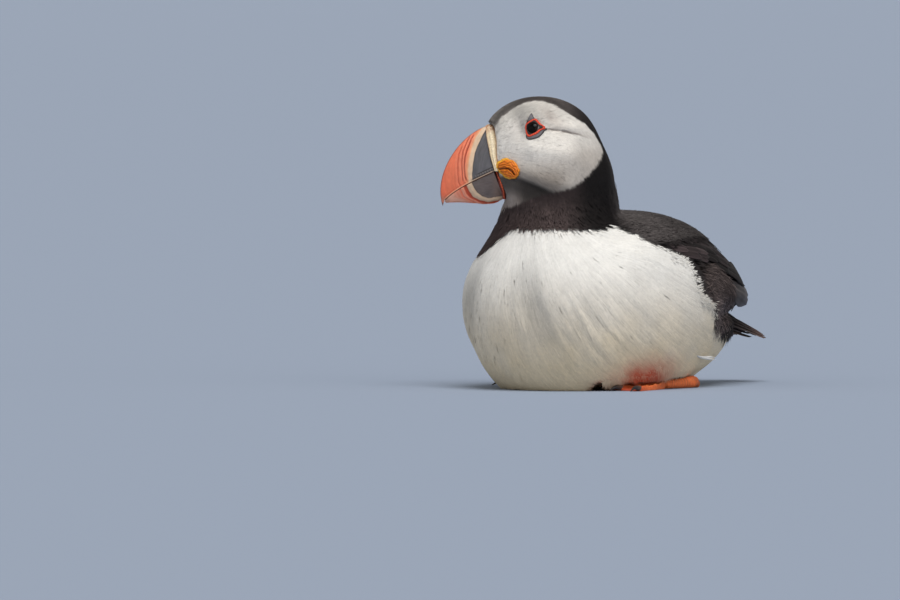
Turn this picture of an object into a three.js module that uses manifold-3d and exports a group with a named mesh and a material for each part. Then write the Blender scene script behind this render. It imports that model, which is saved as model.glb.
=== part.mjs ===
// An Atlantic puffin at life size, resting on its belly with its head raised and turned to its right.
// Millimetres, +Z up. The bird faces -X, its left side is -Y, and it rests on the plane z = 0.
// Each organ is one closed body. The plumage is part of the solids: their surface is the outline of the coat.
import * as THREE from "three";
import { mergeVertices } from "three/addons/utils/BufferGeometryUtils.js";
import Module from "manifold-3d";

const wasm = await Module();
wasm.setup();

// ---------------------------------------------------------------- driving sizes
const GAP = 0.35; // clearance between neighbouring bodies
const TRUNK = { x: -8, z: 40, fore: 62.3, aft: 70, half: 53, up: 44.5, down: 57 };
const LOIN = { x: 28, z: 42, fore: 50, aft: 46.5, half: 40, up: 39.5, down: 39 };
const VENT = { x: 46, z: 31, fore: 30, aft: 27.5, half: 28, up: 20, down: 25 };
const NECK = { top: [-25.2, 2, 96], foot: [-23.5, 0, 60], rTop: 26.9, rFoot: 29 };
const SKULL = { x: -3.5, fore: 24, aft: 29, half: 20, up: 26.4, down: 27 };
const BROW = { x: -11, z: 5, fore: 19.6, aft: 20, half: 15.5, up: 18.6, down: 22 };
const CHEEK = { x: 2, z: -9, fore: 24, aft: 23, half: 21, up: 14, down: 17 };
const HEAD_AT = [-33, 2, 113.5]; // centre of the skull
const HEAD_TURN = THREE.MathUtils.degToRad(39); // to the bird's right
const WING = { root: [-24, 36, 67], tip: [79, 10, 45], fore: 54, aft: 55, chord: 26, out: 14, in: 12 };
const TAIL = { x: 66, z: 32.5, length: 35, root: 8, half: 13.5, droop: 11, feathers: 12, thick: 2.2 };
const EYE = { x: -7.5, z: 12.3, r: 4.1, proud: 1.2, rim: 3.75 };
const BILL_BASE = 7.4; // half width at the gape
const FOOT = { length: 29, spread: 8.5, heel: 24.5, web: 1.1, toe: 2.6 };
const FEET = [
  { side: "left", x: 6.5, y: -35.5, turn: 0.04, out: -1 },
  { side: "right", x: 6, y: 33.5, turn: -0.05, out: 1 },
];

// ---------------------------------------------------------------- fields, in mm: negative inside
const clamp = (v, a = 0, b = 1) => Math.min(b, Math.max(a, v));
const ease = (v) => ((v = clamp(v)), v * v * (3 - 2 * v));
const smin = (a, b, k) => {
  const h = clamp(0.5 + (0.5 * (b - a)) / k);
  return b + (a - b) * h - k * h * (1 - h);
};
// An ellipsoid with its own radius fore, aft, up and down, and exponent n.
const egg = (dx, dy, dz, fore, aft, half, up, down, n = 2) => {
  const rx = dx < 0 ? fore : aft,
    rz = dz > 0 ? up : down;
  const ax = Math.abs(dx) / rx,
    ay = Math.abs(dy) / half,
    az = Math.abs(dz) / rz;
  const k0 = Math.pow(Math.pow(ax, n) + Math.pow(ay, n) + Math.pow(az, n), 1 / n);
  const g =
    Math.hypot(Math.pow(ax, n - 1) / rx, Math.pow(ay, n - 1) / half, Math.pow(az, n - 1) / rz) /
    Math.pow(Math.max(k0, 1e-6), n - 1);
  return (k0 - 1) / Math.max(g, 1e-6);
};
const part = (s, x, y, z, n) => egg(x - s.x, y, z - (s.z ?? 0), s.fore, s.aft, s.half, s.up, s.down, n);

const toHead = (x, y, z) => {
  const c = Math.cos(HEAD_TURN),
    s = Math.sin(HEAD_TURN),
    dx = x - HEAD_AT[0],
    dy = y - HEAD_AT[1];
  return [dx * c - dy * s, dx * s + dy * c, z - HEAD_AT[2]];
};
// The head narrows towards the bill.
const headLocal = (hx, hy, hz) => {
  const w = 1 + 0.42 * ease((-5 - hx) / 22);
  const y = hy * w;
  const skull = part(SKULL, hx, y, hz, 2.1),
    brow = part(BROW, hx, y, hz, 2),
    cheek = part(CHEEK, hx, y, hz, 2);
  return smin(smin(skull, brow, 4), cheek, 7);
};
const headField = (x, y, z) => headLocal(...toHead(x, y, z));
const neckField = (x, y, z) => {
  const [ax, ay, az] = NECK.top,
    [bx, by, bz] = NECK.foot;
  const d = [bx - ax, by - ay, bz - az],
    l2 = d[0] ** 2 + d[1] ** 2 + d[2] ** 2;
  const t = clamp(((x - ax) * d[0] + (y - ay) * d[1] + (z - az) * d[2]) / l2);
  return Math.hypot(x - ax - t * d[0], y - ay - t * d[1], z - az - t * d[2]) - (NECK.rTop + (NECK.rFoot - NECK.rTop) * t);
};
const trunkField = (x, y, z) => {
  const n = 2 + 0.14 * ease((z - 15) / 45);
  const d = smin(smin(part(TRUNK, x, y, z, n), part(LOIN, x, y, z, 2), 10), part(VENT, x, y, z, 2), 8);
  // the belly feathers lift over each foot
  let pocket = 1e9;
  for (const f of FEET)
    pocket = Math.min(pocket, egg(x - f.x, y - f.y - f.out * 4, z, 42, 33, 22, 7.4, 7.4, 2.8));
  return Math.max(d, -pocket);
};
const wingAxes = (out) => {
  const a = new THREE.Vector3(WING.root[0], out * WING.root[1], WING.root[2]),
    b = new THREE.Vector3(WING.tip[0], out * WING.tip[1], WING.tip[2]);
  const e1 = b.clone().sub(a).normalize();
  const e3 = new THREE.Vector3(0.25, out * 0.66, 0.72);
  e3.addScaledVector(e1, -e3.dot(e1)).normalize();
  return { c: a.add(b).multiplyScalar(0.5), e1, e2: e3.clone().cross(e1), e3 };
};
const AXES = { left: wingAxes(-1), right: wingAxes(1) };
const wingField = (side) => (x, y, z) => {
  const { c, e1, e2, e3 } = AXES[side],
    p = new THREE.Vector3(x, y, z).sub(c);
  return egg(p.dot(e1), p.dot(e2), -p.dot(e3), WING.fore, WING.aft, WING.chord, WING.in, WING.out, 2.15);
};
const bodyField = (x, y, z) => {
  let d = smin(trunkField(x, y, z), neckField(x, y, z), 4 + 14 * clamp((-8 - x) / 25));
  d = smin(d, headField(x, y, z), 9);
  return smin(smin(d, wingField("left")(x, y, z), 5), wingField("right")(x, y, z), 5);
};

// ---------------------------------------------------------------- surfaces from a field
// Surface nets: one vertex in each cell that the surface crosses, one quad across each crossed edge.
function nets(field, lo, hi, h) {
  const n = [0, 1, 2].map((i) => Math.ceil((hi[i] - lo[i]) / h) + 1);
  const at = (i, j, k) => (i * n[1] + j) * n[2] + k;
  const v = new Float64Array(n[0] * n[1] * n[2]);
  for (let i = 0; i < n[0]; i++)
    for (let j = 0; j < n[1]; j++)
      for (let k = 0; k < n[2]; k++) {
        const f = field(lo[0] + i * h, lo[1] + j * h, lo[2] + k * h),
          rim = [i, j, k].some((w, a) => w === 0 || w === n[a] - 1);
        v[at(i, j, k)] = rim ? Math.max(f, 0.4 * h) : f; // the form ends at the walls of the box
      }
  const cell = new Int32Array(v.length).fill(-1);
  const pos = [],
    tri = [];
  for (let i = 0; i < n[0] - 1; i++)
    for (let j = 0; j < n[1] - 1; j++)
      for (let k = 0; k < n[2] - 1; k++) {
        const sum = [0, 0, 0];
        let count = 0;
        for (let c = 0; c < 8; c++)
          for (let a = 0; a < 3; a++) {
            if ((c >> a) & 1) continue;
            const p = [c & 1, (c >> 1) & 1, (c >> 2) & 1],
              q = [...p];
            q[a] = 1;
            const f = v[at(i + p[0], j + p[1], k + p[2])],
              g = v[at(i + q[0], j + q[1], k + q[2])];
            if (f < 0 === g < 0) continue;
            const t = f / (f - g);
            for (let b = 0; b < 3; b++) sum[b] += p[b] + (q[b] - p[b]) * t;
            count++;
          }
        if (!count) continue;
        cell[at(i, j, k)] = pos.length / 3;
        pos.push(lo[0] + (i + sum[0] / count) * h, lo[1] + (j + sum[1] / count) * h, lo[2] + (k + sum[2] / count) * h);
      }
  // draw each vertex on to the surface, but leave those on the walls of the box
  for (let i = 0; i < pos.length; i += 3) {
    if ([0, 1, 2].some((a) => pos[i + a] < lo[a] + 1.6 * h || pos[i + a] > lo[a] + (n[a] - 2.6) * h)) continue;
    const from = pos.slice(i, i + 3);
    for (let step = 0; step < 3; step++) {
      const p = pos.slice(i, i + 3),
        e = 0.2,
        f = field(...p);
      const g = [0, 1, 2].map((a) => (field(...p.map((w, b) => w + (b === a) * e)) - field(...p.map((w, b) => w - (b === a) * e))) / (2 * e));
      const gg = g[0] ** 2 + g[1] ** 2 + g[2] ** 2 || 1;
      for (let a = 0; a < 3; a++) pos[i + a] = clamp(p[a] - (f * g[a]) / gg, from[a] - 0.45 * h, from[a] + 0.45 * h);
    }
  }
  const dist = (a, b) => Math.hypot(pos[a * 3] - pos[b * 3], pos[a * 3 + 1] - pos[b * 3 + 1], pos[a * 3 + 2] - pos[b * 3 + 2]);
  for (let i = 0; i < n[0] - 1; i++)
    for (let j = 0; j < n[1] - 1; j++)
      for (let k = 0; k < n[2] - 1; k++)
        for (let a = 0; a < 3; a++) {
          const s = [i, j, k],
            e = [...s];
          if (s.some((w, b) => b !== a && w === 0)) continue;
          e[a]++;
          const f = v[at(...s)] < 0;
          if (f === v[at(...e)] < 0) continue;
          const u = (a + 1) % 3,
            w = (a + 2) % 3;
          const id = (du, dw) => {
            const c = [...s];
            c[u] -= du;
            c[w] -= dw;
            return cell[at(...c)];
          };
          let q = [id(1, 1), id(0, 1), id(0, 0), id(1, 0)];
          if (!f) q = q.reverse();
          if (dist(q[0], q[2]) < dist(q[1], q[3])) tri.push(q[0], q[1], q[2], q[0], q[2], q[3]);
          else tri.push(q[0], q[1], q[3], q[1], q[2], q[3]);
        }
  return new wasm.Manifold(new wasm.Mesh({ numProp: 3, vertProperties: new Float32Array(pos), triVerts: new Uint32Array(tri) }));
}

// ---------------------------------------------------------------- surfaces from two parameters
function closed(points, quads) {
  const g = new THREE.BufferGeometry();
  g.setAttribute("position", new THREE.Float32BufferAttribute(points.flat(), 3));
  const idx = [];
  for (const [a, b, c, d] of quads) idx.push(a, b, c, a, c, d);
  g.setIndex(idx);
  const m = mergeVertices(g, 1e-4);
  const old = m.index.array,
    keep = [];
  for (let i = 0; i < old.length; i += 3)
    if (old[i] !== old[i + 1] && old[i + 1] !== old[i + 2] && old[i] !== old[i + 2]) keep.push(old[i], old[i + 1], old[i + 2]);
  m.setIndex(keep);
  return m;
}
// A body between two sheets, walled round its edge. top and bottom take u and v from 0 to 1.
function slab(nu, nv, top, bottom) {
  const p = [],
    q = [],
    m = (nu + 1) * (nv + 1),
    at = (i, j) => i * (nv + 1) + j;
  for (const f of [top, bottom]) for (let i = 0; i <= nu; i++) for (let j = 0; j <= nv; j++) p.push(f(i / nu, j / nv));
  for (let i = 0; i < nu; i++)
    for (let j = 0; j < nv; j++) {
      const a = at(i, j),
        b = at(i + 1, j),
        c = at(i + 1, j + 1),
        d = at(i, j + 1);
      q.push([a, b, c, d], [m + d, m + c, m + b, m + a]);
    }
  const wall = (a, b) => q.push([b, a, m + a, m + b]);
  for (let i = 0; i < nu; i++) {
    wall(at(i, 0), at(i + 1, 0));
    wall(at(i + 1, nv), at(i, nv));
  }
  for (let j = 0; j < nv; j++) {
    wall(at(nu, j), at(nu, j + 1));
    wall(at(0, j + 1), at(0, j));
  }
  return closed(p, q);
}
// A body through rings of points, each end drawn to its centre.
function loft(ns, nr, ring) {
  const p = [],
    q = [];
  for (let i = 0; i <= ns; i++) for (let j = 0; j < nr; j++) p.push(ring(i / ns, (j / nr) * 2 * Math.PI));
  for (let i = 0; i < ns; i++)
    for (let j = 0; j < nr; j++) {
      const k = (j + 1) % nr;
      q.push([i * nr + j, i * nr + k, (i + 1) * nr + k, (i + 1) * nr + j]);
    }
  for (const [i, flip] of [
    [0, true],
    [ns, false],
  ]) {
    const c = [0, 1, 2].map((a) => p.slice(i * nr, i * nr + nr).reduce((s, v) => s + v[a], 0) / nr);
    p.push(c);
    for (let j = 0; j < nr; j++) {
      const k = (j + 1) % nr,
        a = i * nr + j,
        b = i * nr + k;
      q.push(flip ? [b, a, p.length - 1, p.length - 1] : [a, b, p.length - 1, p.length - 1]);
    }
  }
  return closed(p, q);
}
// A ring of constant section, closed on itself.
function hoop(na, ns, at) {
  const p = [],
    q = [];
  for (let i = 0; i < na; i++) for (let j = 0; j < ns; j++) p.push(at((i / na) * 2 * Math.PI, (j / ns) * 2 * Math.PI));
  for (let i = 0; i < na; i++)
    for (let j = 0; j < ns; j++) {
      const I = (i + 1) % na,
        J = (j + 1) % ns;
      q.push([i * ns + j, I * ns + j, I * ns + J, i * ns + J]);
    }
  return closed(p, q);
}
function outwards(geometry) {
  let volume = 0;
  const p = geometry.attributes.position,
    v = [0, 1, 2].map(() => new THREE.Vector3()),
    idx = geometry.index.array;
  for (let i = 0; i < idx.length; i += 3) {
    v.forEach((w, k) => w.fromBufferAttribute(p, idx[i + k]));
    volume += v[0].dot(v[1].clone().cross(v[2]));
  }
  if (volume < 0) for (let i = 0; i < idx.length; i += 3) [idx[i + 1], idx[i + 2]] = [idx[i + 2], idx[i + 1]];
  return geometry;
}
const solid = (geometry) => {
  outwards(geometry);
  return new wasm.Manifold(
    new wasm.Mesh({
      numProp: 3,
      vertProperties: new Float32Array(geometry.attributes.position.array),
      triVerts: new Uint32Array(geometry.index.array),
    }),
  );
};
const geometryOf = (m) => {
  const mesh = m.getMesh(),
    g = new THREE.BufferGeometry();
  const pos = new Float32Array(mesh.numVert * 3);
  for (let i = 0; i < mesh.numVert; i++) pos.set(mesh.vertProperties.subarray(i * mesh.numProp, i * mesh.numProp + 3), i * 3);
  g.setAttribute("position", new THREE.BufferAttribute(pos, 3));
  g.setIndex(new THREE.BufferAttribute(new Uint32Array(mesh.triVerts), 1));
  return g;
};
const largest = (m) => m.decompose().sort((a, b) => b.volume() - a.volume())[0];

// ---------------------------------------------------------------- bodies
const root = new THREE.Group();
const head = new THREE.Group(); // holds what is laid out from the skull's centre
head.position.set(...HEAD_AT);
head.rotation.z = -HEAD_TURN;
root.add(head);

const finish = (color, roughness) => new THREE.MeshStandardMaterial({ color, roughness, metalness: 0 });
const LOOK = {
  white: finish("#e9e7e1", 0.8),
  face: finish("#cfccc6", 0.8),
  black: finish("#2a2526", 0.75),
  orange: finish("#e8663c", 0.4),
  cream: finish("#e3d3a6", 0.5),
  yellow: finish("#e8941f", 0.5),
  slate: finish("#5d6168", 0.5),
  red: finish("#cf3a22", 0.5),
  eye: finish("#16100e", 0.08),
  foot: finish("#dd5a1e", 0.5),
  claw: finish("#241d1a", 0.4),
};
function add(group, name, geometry, look) {
  const mesh = new THREE.Mesh(outwards(geometry), LOOK[look]);
  mesh.name = name;
  group.add(mesh);
  return mesh;
}
// In the head's own frame: hx backwards, hy to the bird's right, hz up.
const inHead = (g) => {
  head.updateMatrixWorld(true);
  return g.clone().applyMatrix4(head.matrixWorld);
};
// How far out the coat stands at a point of the head's side view, at a height above the coat.
function sideOf(hx, hz, height, out = -1) {
  const c = Math.cos(HEAD_TURN),
    s = Math.sin(HEAD_TURN);
  const f = (y) => bodyField(HEAD_AT[0] + hx * c + out * y * s, HEAD_AT[1] - hx * s + out * y * c, HEAD_AT[2] + hz) - height;
  let a = 0,
    b = 34;
  for (let i = 0; i < 40; i++) {
    const m = (a + b) / 2;
    if (f(m) < 0) a = m;
    else b = m;
  }
  return a;
}

// --- the line where the feathers end at the bill, as hx at a height hz
const featherLine = (hz) => -24.3 - 0.8 * ease((hz - 4) / 7) - 3.6 * ease((hz - 11.6) / 3.6) + 1.0 * ease((-2 - hz) / 7) + 3.9 * ease((-10.5 - hz) / 12);

// --- bill, in the head's frame. s runs from the base to the tip, v from the ridge to the cutting edge.
const bez = (a, b, c, d, t) => {
  const u = 1 - t;
  return [0, 1].map((i) => u * u * u * a[i] + 3 * u * u * t * b[i] + 3 * u * t * t * c[i] + t * t * t * d[i]);
};
const culmen = (s) => bez([-28.4, 12.4], [-41.5, 8.4], [-54.8, -10.5], [-49.7, -25.9], s);
const tomium = (s) => bez([-25.6, -9.2], [-33.5, -13.2], [-43.5, -17.0], [-48.9, -23.2], s);
const gonys = (s) => bez([-20.6, -22.2], [-26, -27.6], [-34.5, -23.2], [-48.0, -24.4], s);
const baseCurve = (v) => 1.15 * Math.sin(Math.PI * v) ** 1.2; // the base bows forward
const swell = (v) => Math.pow(Math.max(0, 1 - Math.pow(1 - v, 2.2)), 0.6);
const taper = (s) => BILL_BASE * Math.pow(1 - 0.97 * s, 0.72) * (1 - 0.12 * Math.sin(Math.PI * s));
const upper = (side) => (s, v) => {
  const a = culmen(s),
    b = tomium(s),
    t = taper(s) * (0.66 + 0.34 * v) * swell(v);
  const bulge = 2.2 * Math.sin(Math.PI * v) * (1 - s) * s + baseCurve(v) * (1 - s);
  return [a[0] + (b[0] - a[0]) * v - bulge, side * t, a[1] + (b[1] - a[1]) * v];
};
const lower = (side) => (s, v) => {
  const b = tomium(s),
    c = gonys(s),
    t = taper(s) * (0.99 - 0.3 * v) * swell(1 - v);
  return [c[0] + (b[0] - c[0]) * (1 - v), side * t, c[1] + (b[1] - c[1] - GAP - 0.1) * (1 - v) - 0.05];
};
const billUpper = slab(12, 7, upper(-1), upper(1));
const billLower = slab(11, 6, lower(-1), lower(1));
add(head, "bill_upper", billUpper, "orange");
add(head, "bill_lower", billLower, "orange");

// --- cere: the fleshy band that edges the upper half of the bill
const cereEdge = (v) => {
  const a = culmen(0),
    b = tomium(0);
  return [a[0] + (b[0] - a[0]) * v - baseCurve(v), a[1] + (b[1] - a[1]) * v];
};
const cere = slab(
  9,
  3,
  (v, s) => cereAt(v, s, -1),
  (v, s) => cereAt(v, s, 1),
);
function cereAt(v, s, side) {
  // v from the ridge to the gape, s across the band from the bill to the feathers
  const e = cereEdge(v),
    x0 = e[0] + GAP * 1.0,
    x1 = featherLine(e[1] + 0.6 * (1 - v)) - GAP - 0.1;
  const w = taper(0) * (0.7 + 0.3 * v) * swell(Math.max(v, 0)) + 0.9 * Math.sin(Math.PI * clamp(0.15 + 0.7 * s)) * ease(v / 0.1);
  return [x0 + (x1 - x0) * s, side * w, e[1] + (1 - v) * 0.6 * s];
}
add(head, "cere", cere, "cream");

// --- gape rosettes: wrinkled fleshy discs behind the corners of the mouth
const ROSETTE = { x: -18.9, z: -7.9, rx: 5.0, rz: 4.9, high: 2.2 };
for (const [side, out] of [
  ["left", -1],
  ["right", 1],
]) {
  const at = (h) => (u, a) => {
    // u from the centre to the rim, as a disc of rings
    const r = u,
      hx = ROSETTE.x + r * ROSETTE.rx * Math.cos(a),
      hz = ROSETTE.z + r * ROSETTE.rz * Math.sin(a) - 0.25 * r * ROSETTE.rx * Math.cos(a);
    return [hx, out * sideOf(hx, hz, GAP + h(u), out), hz];
  };
  const rise = (u) => 0.25 + ROSETTE.high * Math.sqrt(Math.max(0, 1 - u ** 3)) * (1 - 0.3 * Math.exp(-((u / 0.25) ** 2)));
  const n = 12,
    rings = 3,
    p = [at(rise)(0, 0), at(() => 0)(0, 0)],
    q = [];
  for (const f of [at(rise), at(() => 0)])
    for (let i = 1; i <= rings; i++) for (let j = 0; j < n; j++) p.push(f(i / rings, (j / n) * 2 * Math.PI));
  const id = (layer, i, j) => 2 + layer * rings * n + (i - 1) * n + (j % n);
  for (let j = 0; j < n; j++) {
    q.push([0, id(0, 1, j), id(0, 1, j + 1), id(0, 1, j + 1)]);
    q.push([1, id(1, 1, j + 1), id(1, 1, j), id(1, 1, j)]);
    for (let i = 1; i < rings; i++) {
      q.push([id(0, i, j), id(0, i + 1, j), id(0, i + 1, j + 1), id(0, i, j + 1)]);
      q.push([id(1, i, j + 1), id(1, i + 1, j + 1), id(1, i + 1, j), id(1, i, j)]);
    }
    q.push([id(0, rings, j), id(1, rings, j), id(1, rings, j + 1), id(0, rings, j + 1)]);
  }
  add(head, "rosette_" + side, closed(p, q), "yellow");
}

// --- eyes, each with its red rim and the horny plates above and below it
// A frame on the coat at a point of the side view: n outwards, a towards the back, b upwards.
function skinFrame(hx, hz, out) {
  const c = Math.cos(HEAD_TURN),
    s = Math.sin(HEAD_TURN);
  const f = (p) => bodyField(HEAD_AT[0] + p.x * c + p.y * s, HEAD_AT[1] - p.x * s + p.y * c, HEAD_AT[2] + p.z);
  const p = new THREE.Vector3(hx, out * sideOf(hx, hz, 0, out), hz),
    e = 0.4;
  const n = new THREE.Vector3(
    ...[0, 1, 2].map((i) => {
      const d = new THREE.Vector3().setComponent(i, e);
      return f(p.clone().add(d)) - f(p.clone().sub(d));
    }),
  ).normalize();
  const a = new THREE.Vector3(1, 0, 0).addScaledVector(n, -n.x).normalize(),
    b = new THREE.Vector3().crossVectors(n, a);
  if (b.z < 0) b.negate();
  // a point at (u, v) on the frame's plane, stood at a height over the coat
  const lift = (u, v, height) => {
    const q = p.clone().addScaledVector(a, u).addScaledVector(b, v);
    let h = 0;
    for (let i = 0; i < 12; i++) h += height - f(q.clone().addScaledVector(n, h));
    return q.addScaledVector(n, h).toArray();
  };
  return { p, n, lift };
}
const eyes = {};
for (const [side, out] of [
  ["left", -1],
  ["right", 1],
]) {
  const { p, n, lift } = skinFrame(EYE.x, EYE.z, out);
  const centre = p.clone().addScaledVector(n, EYE.proud - EYE.r);
  const ball = new THREE.SphereGeometry(EYE.r, 16, 9);
  ball.deleteAttribute("normal");
  ball.deleteAttribute("uv");
  const eye = add(head, "eye_" + side, mergeVertices(ball, 1e-4), "eye");
  eye.position.copy(centre);
  eyes[side] = centre.toArray();
  const rim = hoop(18, 5, (a, b) => {
    const back = Math.max(0, Math.cos(a - 0.1)) ** 8; // drawn to a point behind the eye
    const r = EYE.rim + 1.1 * back + 0.5 * Math.cos(b) * (1 + 0.8 * back);
    return lift(r * Math.cos(a), r * Math.sin(a), 0.78 + 0.45 * Math.sin(b) * (1 - 0.3 * back));
  });
  add(head, "eye_rim_" + side, rim, "red");
  const plate = (outline, high) =>
    slab(
      5,
      3,
      (u, v) => lift(...outline(u, v), 0.8 + high * Math.sin(Math.PI * u) * Math.sin(Math.PI * v)),
      (u, v) => lift(...outline(u, v), 0.28),
    );
  // above: a small triangle, its point up
  add(
    head,
    "eye_plate_upper_" + side,
    plate((u, v) => [-0.3 + (v - 0.5) * (4.4 * (1 - u) + 0.6 * u) - 0.6 * (1 - u), 4.4 + 3.0 * u - 0.35 * (1 - u) * (1 - Math.cos(Math.PI * (v - 0.5)))], 0.55),
    "slate",
  );
  // below: a long wedge that thins to the back
  add(
    head,
    "eye_plate_lower_" + side,
    plate((u, v) => {
      const t = THREE.MathUtils.degToRad(-110 + 86 * u),
        r = EYE.rim + 0.72 + (1 - v) * (0.35 + 1.6 * Math.sin(Math.PI * (0.1 + 0.85 * (1 - u))) ** 0.8) + 2.0 * u ** 3;
      return [r * Math.cos(t), r * Math.sin(t)];
    }, 0.55),
    "slate",
  );
}

// --- head, neck, trunk and wings: one form, parted by thin cuts
const FAR = 400;
const planeOf = (a, b, c) => {
  // through three points; the normal points up
  const n = new THREE.Vector3().subVectors(b, a).cross(new THREE.Vector3().subVectors(c, a)).normalize();
  if (n.z < 0) n.negate();
  return [n, n.dot(a)];
};
head.updateMatrixWorld(true);
const V = (...v) => new THREE.Vector3(...v);
const throat = head.localToWorld(V(-19.5, 0, -26.5)),
  nape = head.localToWorld(V(29, 0, -3)),
  beside = throat.clone().add(V(Math.sin(HEAD_TURN), Math.cos(HEAD_TURN), 0));
const [headN, headD] = planeOf(throat, nape, beside);
const [neckN, neckD] = planeOf(V(-2, 0, 84.5), V(-62, 0, 63), V(-2, 1, 84.5));
const above = (m, n, d) => m.trimByPlane(n.toArray(), d + GAP / 2);
const below = (m, n, d) => m.trimByPlane(n.clone().negate().toArray(), -(d - GAP / 2));

// room in the head for the bill, the cere and the eyes
const featherWall = (() => {
  const shape = [];
  for (let i = 0; i <= 30; i++) {
    const z = 16.5 - (i / 30) * 41;
    shape.push(new THREE.Vector2(featherLine(z), z));
  }
  // under the bill the throat falls away
  shape.push(new THREE.Vector2(-21.6, -30), new THREE.Vector2(-24.2, -36), new THREE.Vector2(-60, -36), new THREE.Vector2(-60, 16.5));
  const g = new THREE.ExtrudeGeometry(new THREE.Shape(shape), { depth: 60, bevelEnabled: false });
  g.deleteAttribute("normal");
  g.deleteAttribute("uv");
  g.translate(0, 0, -30).rotateX(Math.PI / 2);
  return solid(mergeVertices(g, 1e-4).applyMatrix4(head.matrixWorld));
})();
const HEAD_BOX = [
  [-75, -40, 62],
  [16, 42, 146],
];
let headBody = largest(above(nets(bodyField, ...HEAD_BOX, 4.95), headN, headD).subtract(featherWall));
for (const side of ["left", "right"]) {
  const socket = new THREE.SphereGeometry(EYE.r + GAP, 16, 10);
  socket.deleteAttribute("normal");
  socket.deleteAttribute("uv");
  headBody = headBody.subtract(solid(mergeVertices(socket, 1e-4).translate(...eyes[side]).applyMatrix4(head.matrixWorld)));
}
add(root, "head", geometryOf(largest(headBody)), "face");

const form = nets(bodyField, [-80, -67, -9], [120, 69, 127], 9.05);
const neckBody = largest(below(above(form, neckN, neckD), headN, headD).subtract(featherWall));
add(root, "neck", geometryOf(neckBody), "black");

const wholeTrunk = below(form, neckN, neckD).trimByPlane([0, 0, 1], 0);
// the folded wing is what a lens takes out of the form
const cutWing = (side, extra) => {
  const { c, e1, e2, e3 } = AXES[side],
    grow = 1.9 + extra,
    n = 2.15;
  const lens = new THREE.SphereGeometry(1, 20, 12);
  lens.deleteAttribute("normal");
  lens.deleteAttribute("uv");
  const g = mergeVertices(lens.rotateZ(Math.PI / 2), 1e-4),
    p = g.attributes.position,
    v = new THREE.Vector3();
  for (let i = 0; i < p.count; i++) {
    v.fromBufferAttribute(p, i);
    const r = [(v.x < 0 ? WING.fore : WING.aft) + grow, WING.chord + grow, v.z < 0 ? WING.in + grow : WING.out + grow + 16];
    const k = Math.pow(Math.abs(v.x / r[0]) ** n + Math.abs(v.y / r[1]) ** n + Math.abs(v.z / r[2]) ** n, -1 / n);
    v.multiplyScalar(k);
    const q = c.clone().addScaledVector(e1, v.x).addScaledVector(e2, v.y).addScaledVector(e3, v.z);
    p.setXYZ(i, q.x, q.y, q.z);
  }
  return solid(g);
};
let trunkBody = wholeTrunk;
for (const side of ["left", "right"]) trunkBody = trunkBody.subtract(cutWing(side, GAP));
// the wings meet over the back and part on the midline
const midline = { left: [0, -1, 0], right: [0, 1, 0] };
for (const side of ["left", "right"]) {
  const w = largest(wholeTrunk.intersect(cutWing(side, 0)).trimByPlane(midline[side], GAP / 2));
  add(root, "wing_" + side, geometryOf(w), "black");
}

// --- tail: a fan of stiff feathers joined to one blade
const tailAt = (face) => (u, v) => {
  const across = (v - 0.5) * 2,
    half = TAIL.root + (TAIL.half - TAIL.root) * Math.pow(u, 0.8);
  const scallop = 1 - 0.05 * (1 - Math.abs(Math.sin((TAIL.feathers / 2) * Math.PI * v))) - 0.14 * across ** 2;
  const x = TAIL.x + TAIL.length * u * (1 + (scallop - 1) * ease(u));
  const thick = (TAIL.thick * (1 - 0.55 * u) + 2.2 * (1 - u) ** 2) * (1 - 0.5 * across ** 4);
  return [x, across * half, TAIL.z - TAIL.droop * Math.pow(u, 1.15) * 0.85 - 2.6 * across ** 2 + (face * thick) / 2];
};
const tailBlade = solid(slab(5, 12, tailAt(1), tailAt(-1)));
const tailBody = largest(tailBlade.subtract(nets((x, y, z) => bodyField(x, y, z) - GAP - 0.3, [40, -40, -9], [98, 40, 70], 6)));
add(root, "tail", geometryOf(tailBody), "black");

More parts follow.
